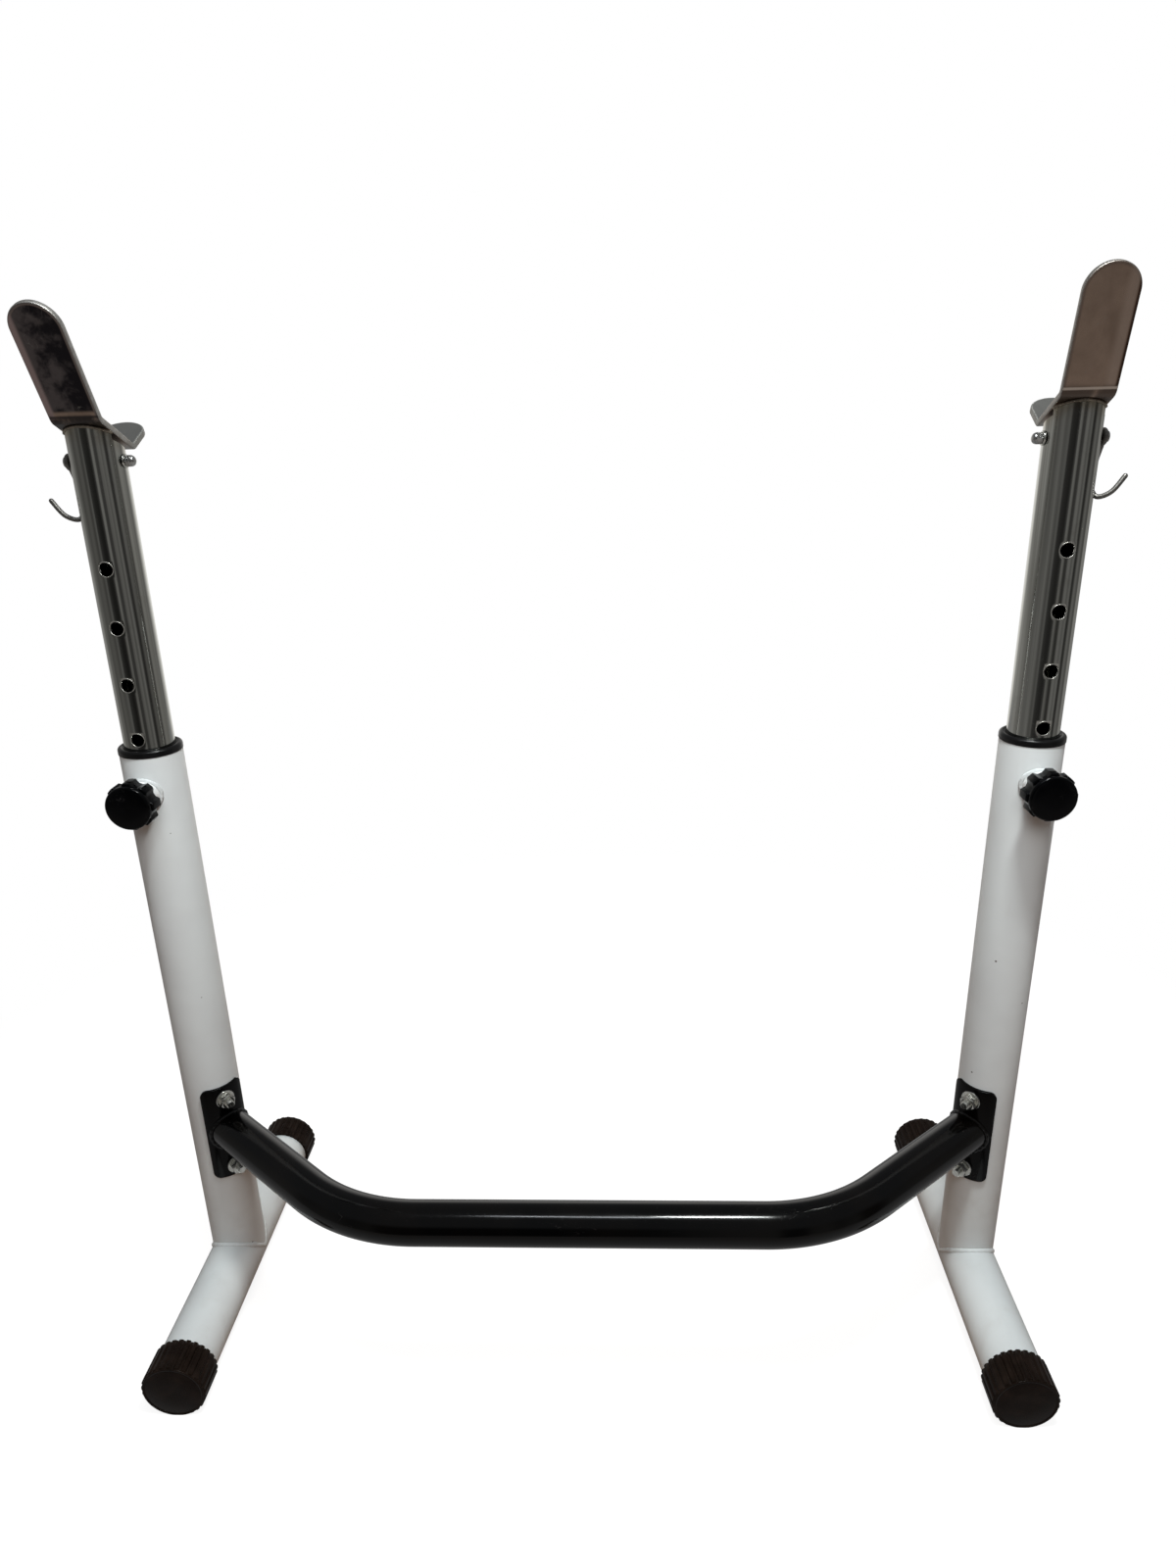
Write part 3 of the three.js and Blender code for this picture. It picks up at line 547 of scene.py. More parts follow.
whiteLow = whiteCoatPaint("whiteCoatLow", 0.02, 0.14)
whiteHigh = whiteCoatPaint("whiteCoatHigh", 0.05, 0.3)
whiteWeld = whiteCoatPaint("whiteCoatWeld", 0.02, 0.14, gloss=0.22)
# the knob boss gets the paler white, a painted highlight for the light on its top
whiteBossPaintedLit = whiteCoatPaint("whiteCoatBossPaintedLit", 0.02, 0.14, 0.12, whiteCoat["paintedLitWhite"], whiteCoat["paintedLitWhite"])
blackSatin = blackCoatPaint("blackCoat")
blackWeld = blackCoatPaint("blackCoatWeld", 0.04, 0.35)
blackPlate = blackCoatPaint("blackCoatPlate", -0.04, 0.15)
chromeFinish = {
    "left": chromePaint("chromeLeft", (0.0, 0.31, 0.0)),
    "right": chromePaint("chromeRight", (0.27, 0.0, 0.0)),
}
zinc = zincPaint("zincPlate", (0.84, 0.835, 0.78), 0.13, 0.35)
brightZinc = zincPaint("brightPlate", (0.68, 0.68, 0.66), 0.16)
hookWire = zincPaint("hookWirePlate", (0.24, 0.23, 0.215), 0.40, 0.05)
cutEdge = zincPaint("cutEdge", (0.74, 0.72, 0.66), 0.34, 0.6)
weldSteel = zincPaint("weldSteel", (0.34, 0.29, 0.23), 0.3)
capPlastic = plasticPaint("capPlastic", (0.0094, 0.0058, 0.0042), 0.28, 0.35, 0.02, 0.09)
collarPlastic = plasticPaint("collarPlastic", (0.0030, 0.0029, 0.0032), 0.30, 0.25, 0.03, 0.3)
knobPlastic = plasticPaint("knobPlastic", (0.0006, 0.0007, 0.0010), 0.13, 0.10, 0.005, 0.14)
guidePlastic = plasticPaint("guidePlastic", (0.006, 0.006, 0.006), 0.45, 0.3, 0.06, 0.3)
print("finishes mixed")


# a bead's measures here and below: its radius, its ripple as a share of that, and the ripples' spacing
baseTube = {"halfLength": 194.7, "steps": 96, "edge": 0.6, "bead": (2.9, 0.12, 6.5), "beadSteps": 220}


def makeBaseTube(side):
    size = baseTube
    outer, inner, half = stand["tubeRadius"], stand["boreRadius"], size["halfLength"]
    bm = spun([(inner, -half), (outer, -half), (outer, half), (inner, half)], size["steps"])
    for end in (-half, half):
        rounded(bm, onRing(outer, end), size["edge"], 2)
    moved(bm, placed(z=stand["baseHeight"]) @ turnedBy(90, "X"))
    keepPiece(bm, "BaseTube", side, whiteLow, "stand", [f"{side}_base_tube"])


def makeBaseWeld(side):
    # the bead in the crook between the upright and the base tube
    size, radius = baseTube, stand["tubeRadius"]

    def crook(angle):
        out, rise = around(angle), abs(math.sin(angle))
        spot = out * (radius + 0.4 * rise - 1.9 * (1 - rise))
        return spot + Vector((0, 0, stand["baseHeight"] + radius * rise)), out + Vector((0, 0, 0.6))

    bm = bead(ringOf(crook, size["beadSteps"]), *size["bead"])
    keepPiece(bm, "BaseWeld", side, whiteWeld, "stand", crease=60)


uprightTube = {"steps": 96, "lip": 0.7, "straightFrom": 60, "sunk": 0.6}


def makeUpright(side):
    outer, inner = stand["tubeRadius"], stand["boreRadius"]
    foot, top = stand["baseHeight"], stand["uprightTop"]
    straight = foot + uprightTube["straightFrom"]
    bm = spun([(inner, foot), (outer, foot), (outer, straight), (outer, top), (inner, top), (inner, straight)],
              uprightTube["steps"])
    for radius in (outer, inner):
        rounded(bm, onRing(radius, top), uprightTube["lip"], 2)
    for vert in bm.verts:  # the foot is coped to the base tube
        if vert.co.z < foot + 1:
            vert.co.z = foot + math.sqrt(max(outer ** 2 - vert.co.x ** 2, 0)) - uprightTube["sunk"]
    keepPiece(bm, "Upright", side, whiteHigh, "stand", [f"{side}_upright"])


knobBoss = {
    "radius": 15, "length": 15, "bore": 6.3, "edge": 1.4, "boreEdge": 0.6, "foot": 24, "sunk": 0.4,
    "bead": (2.3, 0.14, 3.6), "beadSteps": 90,
}


def makeKnobBoss(side):
    size, tube = knobBoss, stand["tubeRadius"]
    front, foot = tube + size["length"], size["foot"]
    bm = spun([(size["bore"], foot), (size["radius"], foot), (size["radius"], front), (size["bore"], front)], 64)
    rounded(bm, onRing(size["radius"], front), size["edge"], 4)
    rounded(bm, onRing(size["bore"], front), size["boreEdge"], 2)
    for vert in bm.verts:  # the foot is coped to the upright
        if vert.co.z < foot + 1:
            vert.co.z = math.sqrt(tube ** 2 - vert.co.x ** 2) - size["sunk"]
    moved(bm, placed(z=stand["pinHeight"]) @ turnedBy(90, "X"))
    keepPiece(bm, "KnobBoss", side, whiteBossPaintedLit, "stand", [f"{side}_knob_boss"])

    def crook(angle):
        out = Vector((math.cos(angle), 0, math.sin(angle)))
        reach = size["radius"] + 0.3
        depth = math.sqrt((tube + 0.3) ** 2 - (reach * out.x) ** 2)
        return Vector((reach * out.x, -depth, stand["pinHeight"] + reach * out.z)), out

    weld = bead(ringOf(crook, size["beadSteps"]), *size["bead"])
    keepPiece(weld, "BossWeld", side, whiteWeld, "stand", crease=60)


endCap = {
    "length": 36, "radius": 33.7, "ribs": 26, "ribSteps": 10, "ribDepth": 1.8, "ribEnd": 34.2,
    "bandRadius": 32.3, "edge": 0.873, "bore": 30.1, "mouthEdge": 0.7, "mouthPlace": 163, "rimInset": 2.6,
    "rimDepth": 0.5,
}


def ribGroove(angle, count):
    # 1 in the middle of a groove, 0 on top of a rib
    place = abs((angle / math.tau * count) % 1 - 0.5) * 2
    step = min(max((place - 0.42) / 0.36, 0), 1)
    return step * step * (3 - 2 * step)


def makeEndCap(side, end):
    size = endCap
    radius, band, length = size["radius"], size["bandRadius"], size["length"]
    rim = band - size["rimInset"]
    mouth, ribEnd, bore = size["mouthEdge"], size["ribEnd"], size["bore"]
    low = length - size["rimDepth"]
    bm = spun([
        (bore, 0), (radius - mouth, 0), (radius, mouth), (radius, 9), (radius, 18), (radius, ribEnd),
        (band, ribEnd + 0.8), (band, length), (rim + 1.2, length), (rim + 0.5, length - 0.1), (rim, low),
        (rim - 0.8, low), (rim - 1.5, length - 0.15), (10, length - 0.1), (0.0, length), (0.0, length - 4),
        (bore, length - 4),
    ], size["ribs"] * size["ribSteps"])
    rounded(bm, onRing(band, length), size["edge"], 6)
    for vert in bm.verts:
        reach = math.hypot(vert.co.x, vert.co.y)
        if reach > bore + 0.6 and vert.co.z < ribEnd + 0.01:
            sunk = ribGroove(math.atan2(vert.co.y, vert.co.x), size["ribs"]) * size["ribDepth"]
            vert.co.x *= (reach - sunk) / reach
            vert.co.y *= (reach - sunk) / reach
    place = placed(y=-size["mouthPlace"], z=stand["baseHeight"]) @ turnedBy(90, "X")
    moved(bm, turnedBy(180, "Z") @ place if end == "Rear" else place)
    for vert in bm.verts:  # the flat foot
        vert.co.z = max(vert.co.z, 0)
    keepPiece(bm, end + "Cap", side, capPlastic, "stand", [f"{side}_{end.lower()}_cap"], crease=40)


collar = {"height": 7, "proud": 0.6, "round": 2.8, "bore": 24.3, "sleeve": 27.7, "depth": 22}


def makeCollar(side):
    size = collar
    rim = stand["tubeRadius"] + size["proud"]
    top, bore, depth, sleeve = size["height"], size["bore"], size["depth"], size["sleeve"]
    bm = spun([
        (bore, -depth), (sleeve, -depth), (sleeve, 0.05), (rim - 0.5, 0.05), (rim, 0.6), (rim, top), (rim - 3.4, top),
        (rim - 4.4, top - 0.9), (bore + 0.9, top - 0.9), (bore, top - 1.8),
    ], 128)
    rounded(bm, onRing(rim, top), size["round"], 7)
    rounded(bm, onRing(rim - 4.4, top - 0.9), 0.5, 2)
    moved(bm, placed(z=stand["uprightTop"]))
    keepPiece(bm, "Collar", side, collarPlastic, "stand", [f"{side}_collar"])


knob = {
    "lobes": 8, "lobeSteps": 22, "radius": 24, "lobeDepth": 3.4, "valleyShare": 0.62, "bodyLength": 16.6,
    "edge": 1.4, "recess": 16.5, "recessDepth": 9, "faceRadius": 22, "faceStart": 15.9, "thickness": 22,
    "faceEdge": 2.2, "seat": 46,
}


def lobeRadius(angle):
    size = knob
    place = (angle / math.tau * size["lobes"]) % 1
    valley = 1 - abs(place - 0.5) * 2 / size["valleyShare"]
    if valley <= 0:
        return size["radius"]
    return size["radius"] - size["lobeDepth"] * math.sin(min(valley * 1.25, 1) * math.pi / 2) ** 0.9


def makeKnob(side):
    size = knob
    bm = bmesh.new()
    bmesh.ops.create_circle(bm, cap_ends=True, segments=size["lobes"] * size["lobeSteps"], radius=1)
    edge, length, recess = size["edge"], size["bodyLength"], size["recess"]
    # loops from the recess at the back to the face: a radius, or how far inside the lobes, and a height
    rings = [(recess, None, size["recessDepth"]), (recess, None, 0.6), (recess + 0.6, None, 0)]
    arc = [math.radians(90 * i / 4) for i in range(5)]
    rings += [(None, edge * (1 - math.sin(turn)), edge * (1 - math.cos(turn))) for turn in arc]
    rings.append((None, 0, length / 2))
    rings += [(None, edge * (1 - math.cos(turn)), length - edge * (1 - math.sin(turn))) for turn in arc]
    rings.append((recess + 1, None, length))
    loop, edges = list(bm.verts), list(bm.edges)
    for index, (radius, inset, height) in enumerate(rings):
        if index:
            loop, edges = grown(bm, edges)
        for vert in loop:
            angle = math.atan2(vert.co.y, vert.co.x)
            vert.co = around(angle, radius if radius else lobeRadius(angle) - inset, height)
    bmesh.ops.holes_fill(bm, edges=bm.edges, sides=0)
    face, start, top = size["faceRadius"], size["faceStart"], size["thickness"]
    disc = spun([(0.0, start), (face - 1.2, start), (face, start + 1.2), (face, top - 0.45), (face - 5.5, top - 0.1),
                 (face - 12, top - 0.02), (0.0, top)], 120)
    rounded(disc, onRing(face, top - 0.45), size["faceEdge"], 6)
    joinInto(bm, disc)
    moved(bm, placed(y=-size["seat"], z=stand["pinHeight"]) @ turnedBy(90, "X"))
    keepPiece(bm, "Knob", side, knobPlastic, f"{side}_knob_turn", [f"{side}_knob"], crease=30)


post = {
    "wall": 2, "bottom": 444.5, "top": 990, "steps": 96, "holeRadius": 6.5, "holeEdge": 0.8, "holeCells": 5,
    "holePitch": 55, "holesBelow": 3, "holesAbove": 4, "boltHoleRadius": 3.3, "boltHoleCells": 3,
    "notchStart": 13, "notchDrop": 7,
}


def lockHoles():
    return [stand["pinHeight"] + k * post["holePitch"] for k in range(-post["holesBelow"], post["holesAbove"] + 1)]


def drillSheet(bm, radius, degrees, height, holeRadius, cells, steps):
    # opens a round hole in a rolled sheet: a square of faces goes, a ring comes in and is bridged to it
    half = cells * (math.tau * radius / steps)
    angle = math.radians(degrees)
    out = around(angle)
    side = Vector((-out.y, out.x, 0))

    def inSquare(co, slack):
        turn = math.atan2(co.dot(side), co.dot(out))
        return abs(turn * radius) < half + slack and abs(co.z - height) < half + slack

    gone = [f for f in bm.faces if inSquare(f.calc_center_median(), 0)]
    bmesh.ops.delete(bm, geom=gone, context="FACES")
    border = [e for e in bm.edges if e.is_boundary and all(inSquare(v.co, 0.01) for v in e.verts)]
    ring = bmesh.ops.create_circle(bm, cap_ends=False, segments=8 * cells, radius=holeRadius)["verts"]
    for vert in ring:
        vert.co = around(angle + math.asin(vert.co.x / radius), radius, height + vert.co.y)
    ringEdges = list({e for v in ring for e in v.link_edges})
    bmesh.ops.bridge_loops(bm, edges=border + ringEdges)


def makePost(side):
    size = post
    radius, steps = stand["postRadius"], size["steps"]
    cell = math.tau * radius / steps
    holes, bolt = lockHoles(), stand["hookBoltHeight"]
    rows = {size["bottom"], size["top"]}
    for height, cells in [(height, size["holeCells"]) for height in holes] + [(bolt, size["boltHoleCells"])]:
        rows.update(round(height + cell * k, 4) for k in range(-cells, cells + 1))
    bm = spun([(radius, row) for row in sorted(rows)], steps, closed=False)
    for height in holes:
        for degrees in (-90, 90):
            drillSheet(bm, radius, degrees, height, size["holeRadius"], size["holeCells"], steps)
    for degrees in (0, 180):
        drillSheet(bm, radius, degrees, bolt, size["boltHoleRadius"], size["boltHoleCells"], steps)
    # the top is cut on the cup's slant, with a step down behind the front
    twist = turnedBy(stand["cupTwist"][side], "Z")
    fall = math.radians(stand["saddleFall"])
    up = Vector((0, math.sin(fall), math.cos(fall)))
    seat = Vector((0, *stand["cupBend"]))
    lowSeat = seat - Vector((0, 0, size["notchDrop"]))
    step = size["notchStart"] - radius
    for point, normal in ((seat, up), (lowSeat, up), (Vector((0, step, 0)), Vector((0, 1, 0)))):
        cutAt(bm, twist @ point, twist @ normal)
    back = twist.inverted()
    over = []
    for face in bm.faces:
        centre = back @ face.calc_center_median()
        if (centre - (seat if centre.y < step else lowSeat)).dot(up) > 0:
            over.append(face)
    bmesh.ops.delete(bm, geom=over, context="FACES")
    bmesh.ops.recalc_face_normals(bm, faces=bm.faces)
    bmesh.ops.solidify(bm, geom=bm.faces[:], thickness=size["wall"])

    def onRim(co, reach, slack):
        # on the rim of a lock hole in the surface of that radius
        aside = co.x * radius / reach
        return abs(math.hypot(co.x, co.y) - reach) <= slack and any(
            abs(math.hypot(aside, co.z - height) - size["holeRadius"]) < slack for height in holes)

    inner = radius - size["wall"]
    for vert in bm.verts:  # the lock holes are bored straight through the wall
        if onRim(vert.co, inner, 0.4):
            vert.co.x *= radius / inner
            vert.co.y = math.copysign(math.sqrt(inner ** 2 - vert.co.x ** 2), vert.co.y)
    rounded(bm, lambda co: onRim(co, radius, 0.02), size["holeEdge"], 2)
    keepPiece(bm, "Post", side, chromeFinish[side], f"{side}_swivel", [f"{side}_post"], crease=40)


holeRim = {"bead": (0.42, 0.2, 4), "beadSteps": 36, "proud": 0.05, "inset": 0.35}


def makeHoleRims(side):
    # the bright cut edge that stands round each lock hole
    radius, reach = stand["postRadius"] + holeRim["proud"], post["holeRadius"] + holeRim["inset"]
    rims = bmesh.new()
    for height in lockHoles():
        for face in (-1, 1):

            def rim(angle):
                aside, rise = reach * math.cos(angle), reach * math.sin(angle)
                depth = face * math.sqrt(radius ** 2 - aside ** 2)
                return Vector((aside, depth, height + rise)), Vector((aside, 0, rise))

            joinInto(rims, bead(ringOf(rim, holeRim["beadSteps"]), *holeRim["bead"]))
    keepPiece(rims, "HoleRims", side, cutEdge, f"{side}_swivel", crease=60)


cupSizes = {
    "width": 45, "thickness": 6, "innerBend": 4, "edge": 1.3, "plate": 102.5, "saddle": 61.5, "lip": 47.5,
    "lipRise": 25, "lean": {"left": 26.5, "right": 15.5}, "bendSteps": 14,
}


def heading(degrees):
    return Vector((0, math.cos(math.radians(degrees)), math.sin(math.radians(degrees))))


def cupStretches(side):
    # straight lengths of the strip's underside, each with the turn in degrees that follows it
    size, fall = cupSizes, stand["saddleFall"]
    outer = size["innerBend"] + size["thickness"]
    start = size["lean"][side] - 90
    first, second = -fall - start, size["lipRise"] + fall
    backOne, backTwo = [outer * math.tan(math.radians(turn) / 2) for turn in (first, second)]
    lengths = (size["plate"] - backOne, size["saddle"] - backOne - backTwo, size["lip"] - backTwo)
    return start, outer, list(zip(lengths, (first, second, 0)))


def makeBarCup(side):
    size = cupSizes
    start, outer, stretches = cupStretches(side)
    total = sum(length + outer * math.radians(turn) for length, turn in stretches)
    half = size["width"] / 2
    bm = bmesh.new()
    bmesh.ops.create_circle(bm, cap_ends=True, segments=96, radius=half)
    for vert in bm.verts:  # the circle pulled out to a strip with two round ends
        if vert.co.y > 0.01:
            vert.co.y += total - half
        elif vert.co.y < -0.01:
            vert.co.y += half
        else:
            vert.co.y = total / 2
    thickened(bm, size["thickness"])
    for level in (0, size["thickness"]):
        rounded(bm, lambda co: abs(co.z - level) < 0.01, size["edge"], 4)
    for inset in (0.5, 1.5, 4):
        broad = [f for f in bm.faces if len(f.verts) > 40]
        bmesh.ops.inset_region(bm, faces=broad, thickness=inset, use_even_offset=True)
    cuts = []
    travelled = 0
    for length, turn in stretches:
        cuts += [travelled + length * k / 4 for k in range(1, 4)]
        travelled += length
        arc = outer * math.radians(turn)
        if arc:
            cuts += [travelled + arc * k / size["bendSteps"] for k in range(size["bendSteps"] + 1)]
        travelled += arc
    for cut in cuts:
        cutAt(bm, (0, cut, 0), (0, 1, 0))
    flat = bm.verts.layers.float_vector.new("flat")
    top = -heading(start) * size["plate"]
    for vert in bm.verts:  # the flat strip is bent up, corner by corner
        vert[flat] = vert.co
        distance, through = vert.co.y, vert.co.z
        corner, angle = top, start
        for length, turn in stretches:
            onward, inward = heading(angle), heading(angle + 90)
            if distance <= length or not turn:
                spot = corner + onward * distance + inward * through
                break
            distance -= length
            centre = corner + onward * length + inward * outer
            bend = min(distance / outer, math.radians(turn))
            spot = centre - heading(angle + 90 + math.degrees(bend)) * (outer - through)
            if distance <= outer * math.radians(turn):
                break
            distance -= outer * math.radians(turn)
            angle += turn
            corner = centre - heading(angle + 90) * outer
        vert.co = Vector((vert.co.x, spot.y, spot.z))
    moved(bm, turnedBy(stand["cupTwist"][side], "Z") @ placed(0, *stand["cupBend"]))
    finish = cupSteelPaint(f"cupSteel{side.title()}", side, stretches[0][0], total)
    keepPiece(bm, "BarCup", side, finish, f"{side}_swivel", [f"{side}_bar_cup"])


cupWeld = {"bead": (1.35, 0.34, 3.1), "from": 205, "to": 335, "steps": 69, "reach": 23.9, "sunk": 0.9}


def makeCupWeld(side):
    # the bead between the post's front and the underside of the cup
    size = cupWeld
    slope = math.tan(math.radians(stand["saddleFall"]))
    bendY, bendZ = stand["cupBend"]
    twist = turnedBy(stand["cupTwist"][side], "Z")
    spots = []
    for i in range(size["steps"] + 1):
        out = around(math.radians(size["from"] + (size["to"] - size["from"]) * i / size["steps"]))
        spot = out * size["reach"]
        spot.z = bendZ - (spot.y - bendY) * slope - size["sunk"]
        spots.append((twist @ spot, twist @ out))
    bm = bead(spots, *size["bead"], endless=False)
    keepPiece(bm, "CupWeld", side, weldSteel, f"{side}_swivel", crease=60)


wire = {"radius": 2.25, "place": 27.05, "eye": 5.55, "back": 9, "legDrop": 44, "drop": 51, "reach": 26, "rise": 20}


def makeWireHook(side):
    size, thick = wire, wire["radius"]
    place, drop, reach, back, leg = size["place"], size["drop"], size["reach"], size["back"], size["legDrop"]
    turn = drop - leg
    spots = [
        (place, 0, -size["eye"]), (place, back, (-size["eye"] - leg) / 2), (place, back, -leg),
        (place + turn / 2, back / 2, -drop), (place + reach / 2, 0, -drop + turn / 2),
        (place + reach, 0, -drop + size["rise"]),
    ]
    spots = [Vector((-x, y, z + stand["hookBoltHeight"])) for x, y, z in spots]
    path = smoothPath(spots, 14)[:-2]  # the round tip makes up the rest
    bm = carried(along(path, thick, (0.1, 1, 0.2), tip=5), 20)
    turns = [math.radians(a) for a in range(0, 360, 18)]
    eye = spun([(size["eye"] + thick * math.cos(turn), thick * math.sin(turn)) for turn in turns], 56)
    moved(eye, placed(x=-place, z=stand["hookBoltHeight"]) @ turnedBy(90, "Y"))
    joinInto(bm, eye)
    keepPiece(bm, "WireHook", side, hookWire, f"{side}_hook", [f"{side}_wire_hook"])


def hexPrism(across, height, chamfer=0.55):
    # a hexagon with its corners turned down to a cone at both ends
    bm = bmesh.new()
    loop = bmesh.ops.create_circle(bm, cap_ends=True, segments=72, radius=1)["verts"]
    edges = list(bm.edges)
    waist = across / 2 * 0.93
    for level in range(4):
        if level:
            loop, edges = grown(bm, edges)
        for vert in loop:
            angle = math.atan2(vert.co.y, vert.co.x)
            reach = across / 2 / math.cos((angle + math.pi / 6) % (math.pi / 3) - math.pi / 6)
            down = (reach - waist) * chamfer
            vert.co = around(angle, *[(waist, 0), (reach, down), (reach, height - down), (waist, height)][level])
    bmesh.ops.holes_fill(bm, edges=bm.edges, sides=0)
    return bm


def washerRing(bore, radius, thickness, edge, steps):
    bm = spun([(bore, 0), (radius, 0), (radius, thickness), (bore, thickness)], steps)
    rounded(bm, onRing(radius, thickness), edge, 3)
    return bm


def thread(radius, start, end, pitch):
    # rings of thread on a bolt's end, then a small chamfer
    profile = [(0.0, start), (radius, start)]
    height = start
    while height + pitch < end - pitch * 0.4:
        crests = ((radius, 0.15), (radius - pitch * 0.5, 0.5), (radius, 0.85))
        profile += [(reach, height + pitch * share) for reach, share in crests]
        height += pitch
    profile += [(radius, end - 0.8), (radius - 0.8, end), (0.0, end)]
    return spun(profile, 40)


hookBolt = {
    "headRadius": 5, "headHeight": 2.6, "shank": 3, "headSeat": 29.6, "nutSeat": 26.1, "play": 0.3,
    "washerRadius": 6.25, "washer": 1.5, "washerSeat": 24.3, "nutAcross": 10, "nutHex": 5, "nutHeight": 8.5,
}


def makeHookBolt(side):
    size, shank = hookBolt, hookBolt["shank"]
    sideways = placed(z=stand["hookBoltHeight"]) @ turnedBy(90, "Y")
    body = f"{side}_swivel"
    radius, seat, tip = size["headRadius"], -size["headSeat"], size["nutSeat"] + 4
    crown = seat - size["headHeight"]
    head = spun([(0.0, crown), (3.1, crown + 0.35), (4.6, crown + 1.05), (radius, seat - 0.9), (radius, seat),
                 (shank, seat), (shank, tip), (0.0, tip)], 48)
    rounded(head, onRing(radius, seat - 0.9), 0.5, 2)
    moved(head, sideways)
    keepPiece(head, "HookBolt", side, brightZinc, body, [f"{side}_hook_bolt"], crease=28)
    washer = washerRing(shank + size["play"], size["washerRadius"], size["washer"], 0.4, 56)
    moved(washer, sideways @ placed(z=size["washerSeat"]))
    keepPiece(washer, "HookWasher", side, zinc, body, [f"{side}_hook_washer"])
    nut = hexPrism(size["nutAcross"], size["nutHex"])
    dome, hexTop = size["nutAcross"] / 2 * 0.94, size["nutHex"]
    rise = size["nutHeight"] - hexTop
    turns = [math.radians(a) for a in range(10, 90, 10)]
    profile = [(dome * math.cos(turn), hexTop + rise * math.sin(turn)) for turn in turns]
    joinInto(nut, spun([(0.0, 2), (dome, 2), (dome, hexTop), *profile, (0.0, size["nutHeight"])], 48))
    moved(nut, sideways @ placed(z=size["nutSeat"]))
    keepPiece(nut, "HookCapNut", side, brightZinc, body, [f"{side}_hook_cap_nut"], crease=28)


saddle = {"inner": 30.3, "thickness": 3, "height": 118, "wrap": 90, "corner": 8, "edge": 0.7, "strips": 26}


def bracketMatrix():
    # the saddle plate's own frame: x out through its middle
    return placed(z=stand["crossbarHeight"]) @ turnedBy(-stand["bracketAngle"], "Z")


def makeSaddlePlate(side):
    size = saddle
    outer = size["inner"] + size["thickness"]
    width = math.radians(size["wrap"]) * outer
    bm = bmesh.new()
    bmesh.ops.create_grid(bm, x_segments=1, y_segments=1, size=1)
    bmesh.ops.scale(bm, vec=(width / 2, size["height"] / 2, 1), verts=bm.verts)
    bmesh.ops.bevel(bm, geom=bm.verts[:], offset=size["corner"], offset_type="OFFSET", affect="VERTICES",
                    segments=8, profile=0.5, material=-1, clamp_overlap=True)
    thickened(bm, size["thickness"])
    rounded(bm, lambda co: abs(co.z - size["thickness"]) < 0.01, size["edge"], 3)
    for i in range(1, size["strips"]):
        cutAt(bm, (-width / 2 + width * i / size["strips"], 0, 0), (1, 0, 0))
    for vert in bm.verts:  # rolled round the upright
        vert.co = around(vert.co.x / outer, size["inner"] + vert.co.z, vert.co.y)
    moved(bm, bracketMatrix())
    keepPiece(bm, "SaddlePlate", side, blackPlate, "stand", [f"{side}_saddle_plate"])


frameBolt = {
    "radius": 4.4, "headAcross": 14.4, "headHeight": 6.4, "headSeat": 30.3, "nutSeat": 35.9, "nutHeight": 8, "end": 6,
    "pitch": 1.4, "play": 0.3, "washerRadius": 10.3, "washer": 2, "washerSeat": 33.6,
    "nutTurn": {"upper": 17, "lower": 43},
}


def makeFrameBolt(side, level, rise):
    size = frameBolt
    place = bracketMatrix() @ placed(z=rise) @ turnedBy(90, "Y")
    title = level.title()
    end = size["nutSeat"] + size["nutHeight"] + size["end"]
    bolt = hexPrism(size["headAcross"], size["headHeight"])
    moved(bolt, placed(z=-size["headSeat"] - size["headHeight"]))
    joinInto(bolt, thread(size["radius"], -size["headSeat"] - 1, end, size["pitch"]))
    washer = washerRing(size["radius"] + size["play"], size["washerRadius"], size["washer"], 0.5, 64)
    moved(washer, placed(z=size["washerSeat"]))
    nut = hexPrism(size["headAcross"], size["nutHeight"])
    moved(nut, placed(z=size["nutSeat"]) @ turnedBy(size["nutTurn"][level], "Z"))
    for bm, part, crease in ((bolt, "Bolt", 28), (washer, "Washer", 35), (nut, "Nut", 28)):
        moved(bm, place)
        keepPiece(bm, f"{title}Bracket{part}", side, zinc, "stand",
                  [f"{side}_{level}_bracket_{part.lower()}"], crease)


crossbar = {
    "radius": 22, "bow": 160, "bendRadius": 186, "legAngle": 39.5, "bendSteps": 28, "segments": 64,
    "bead": (2.3, 0.16, 6), "beadSteps": 130,
}


def crossbarPath():
    # centre line of the right half in plan, from the middle to the saddle plate
    size = crossbar
    bow, bend, turn = size["bow"], size["bendRadius"], math.radians(size["legAngle"])
    inset = bend * math.tan(turn / 2)
    leg = bow / math.sin(turn) - inset
    half = stand["uprightSpacing"] / 2 - bow / math.tan(turn) - inset
    points = [Vector((half * k / 6, -bow, 0)) for k in range(6)]
    for i in range(size["bendSteps"] + 1):
        angle = turn * i / size["bendSteps"]
        points.append(Vector((half + bend * math.sin(angle), -bow + bend * (1 - math.cos(angle)), 0)))
    onward = around(turn)
    start = points[-1]
    reach = leg - stand["bracketRadius"]
    return points + [start + onward * reach * k / 5 for k in range(1, 6)], onward


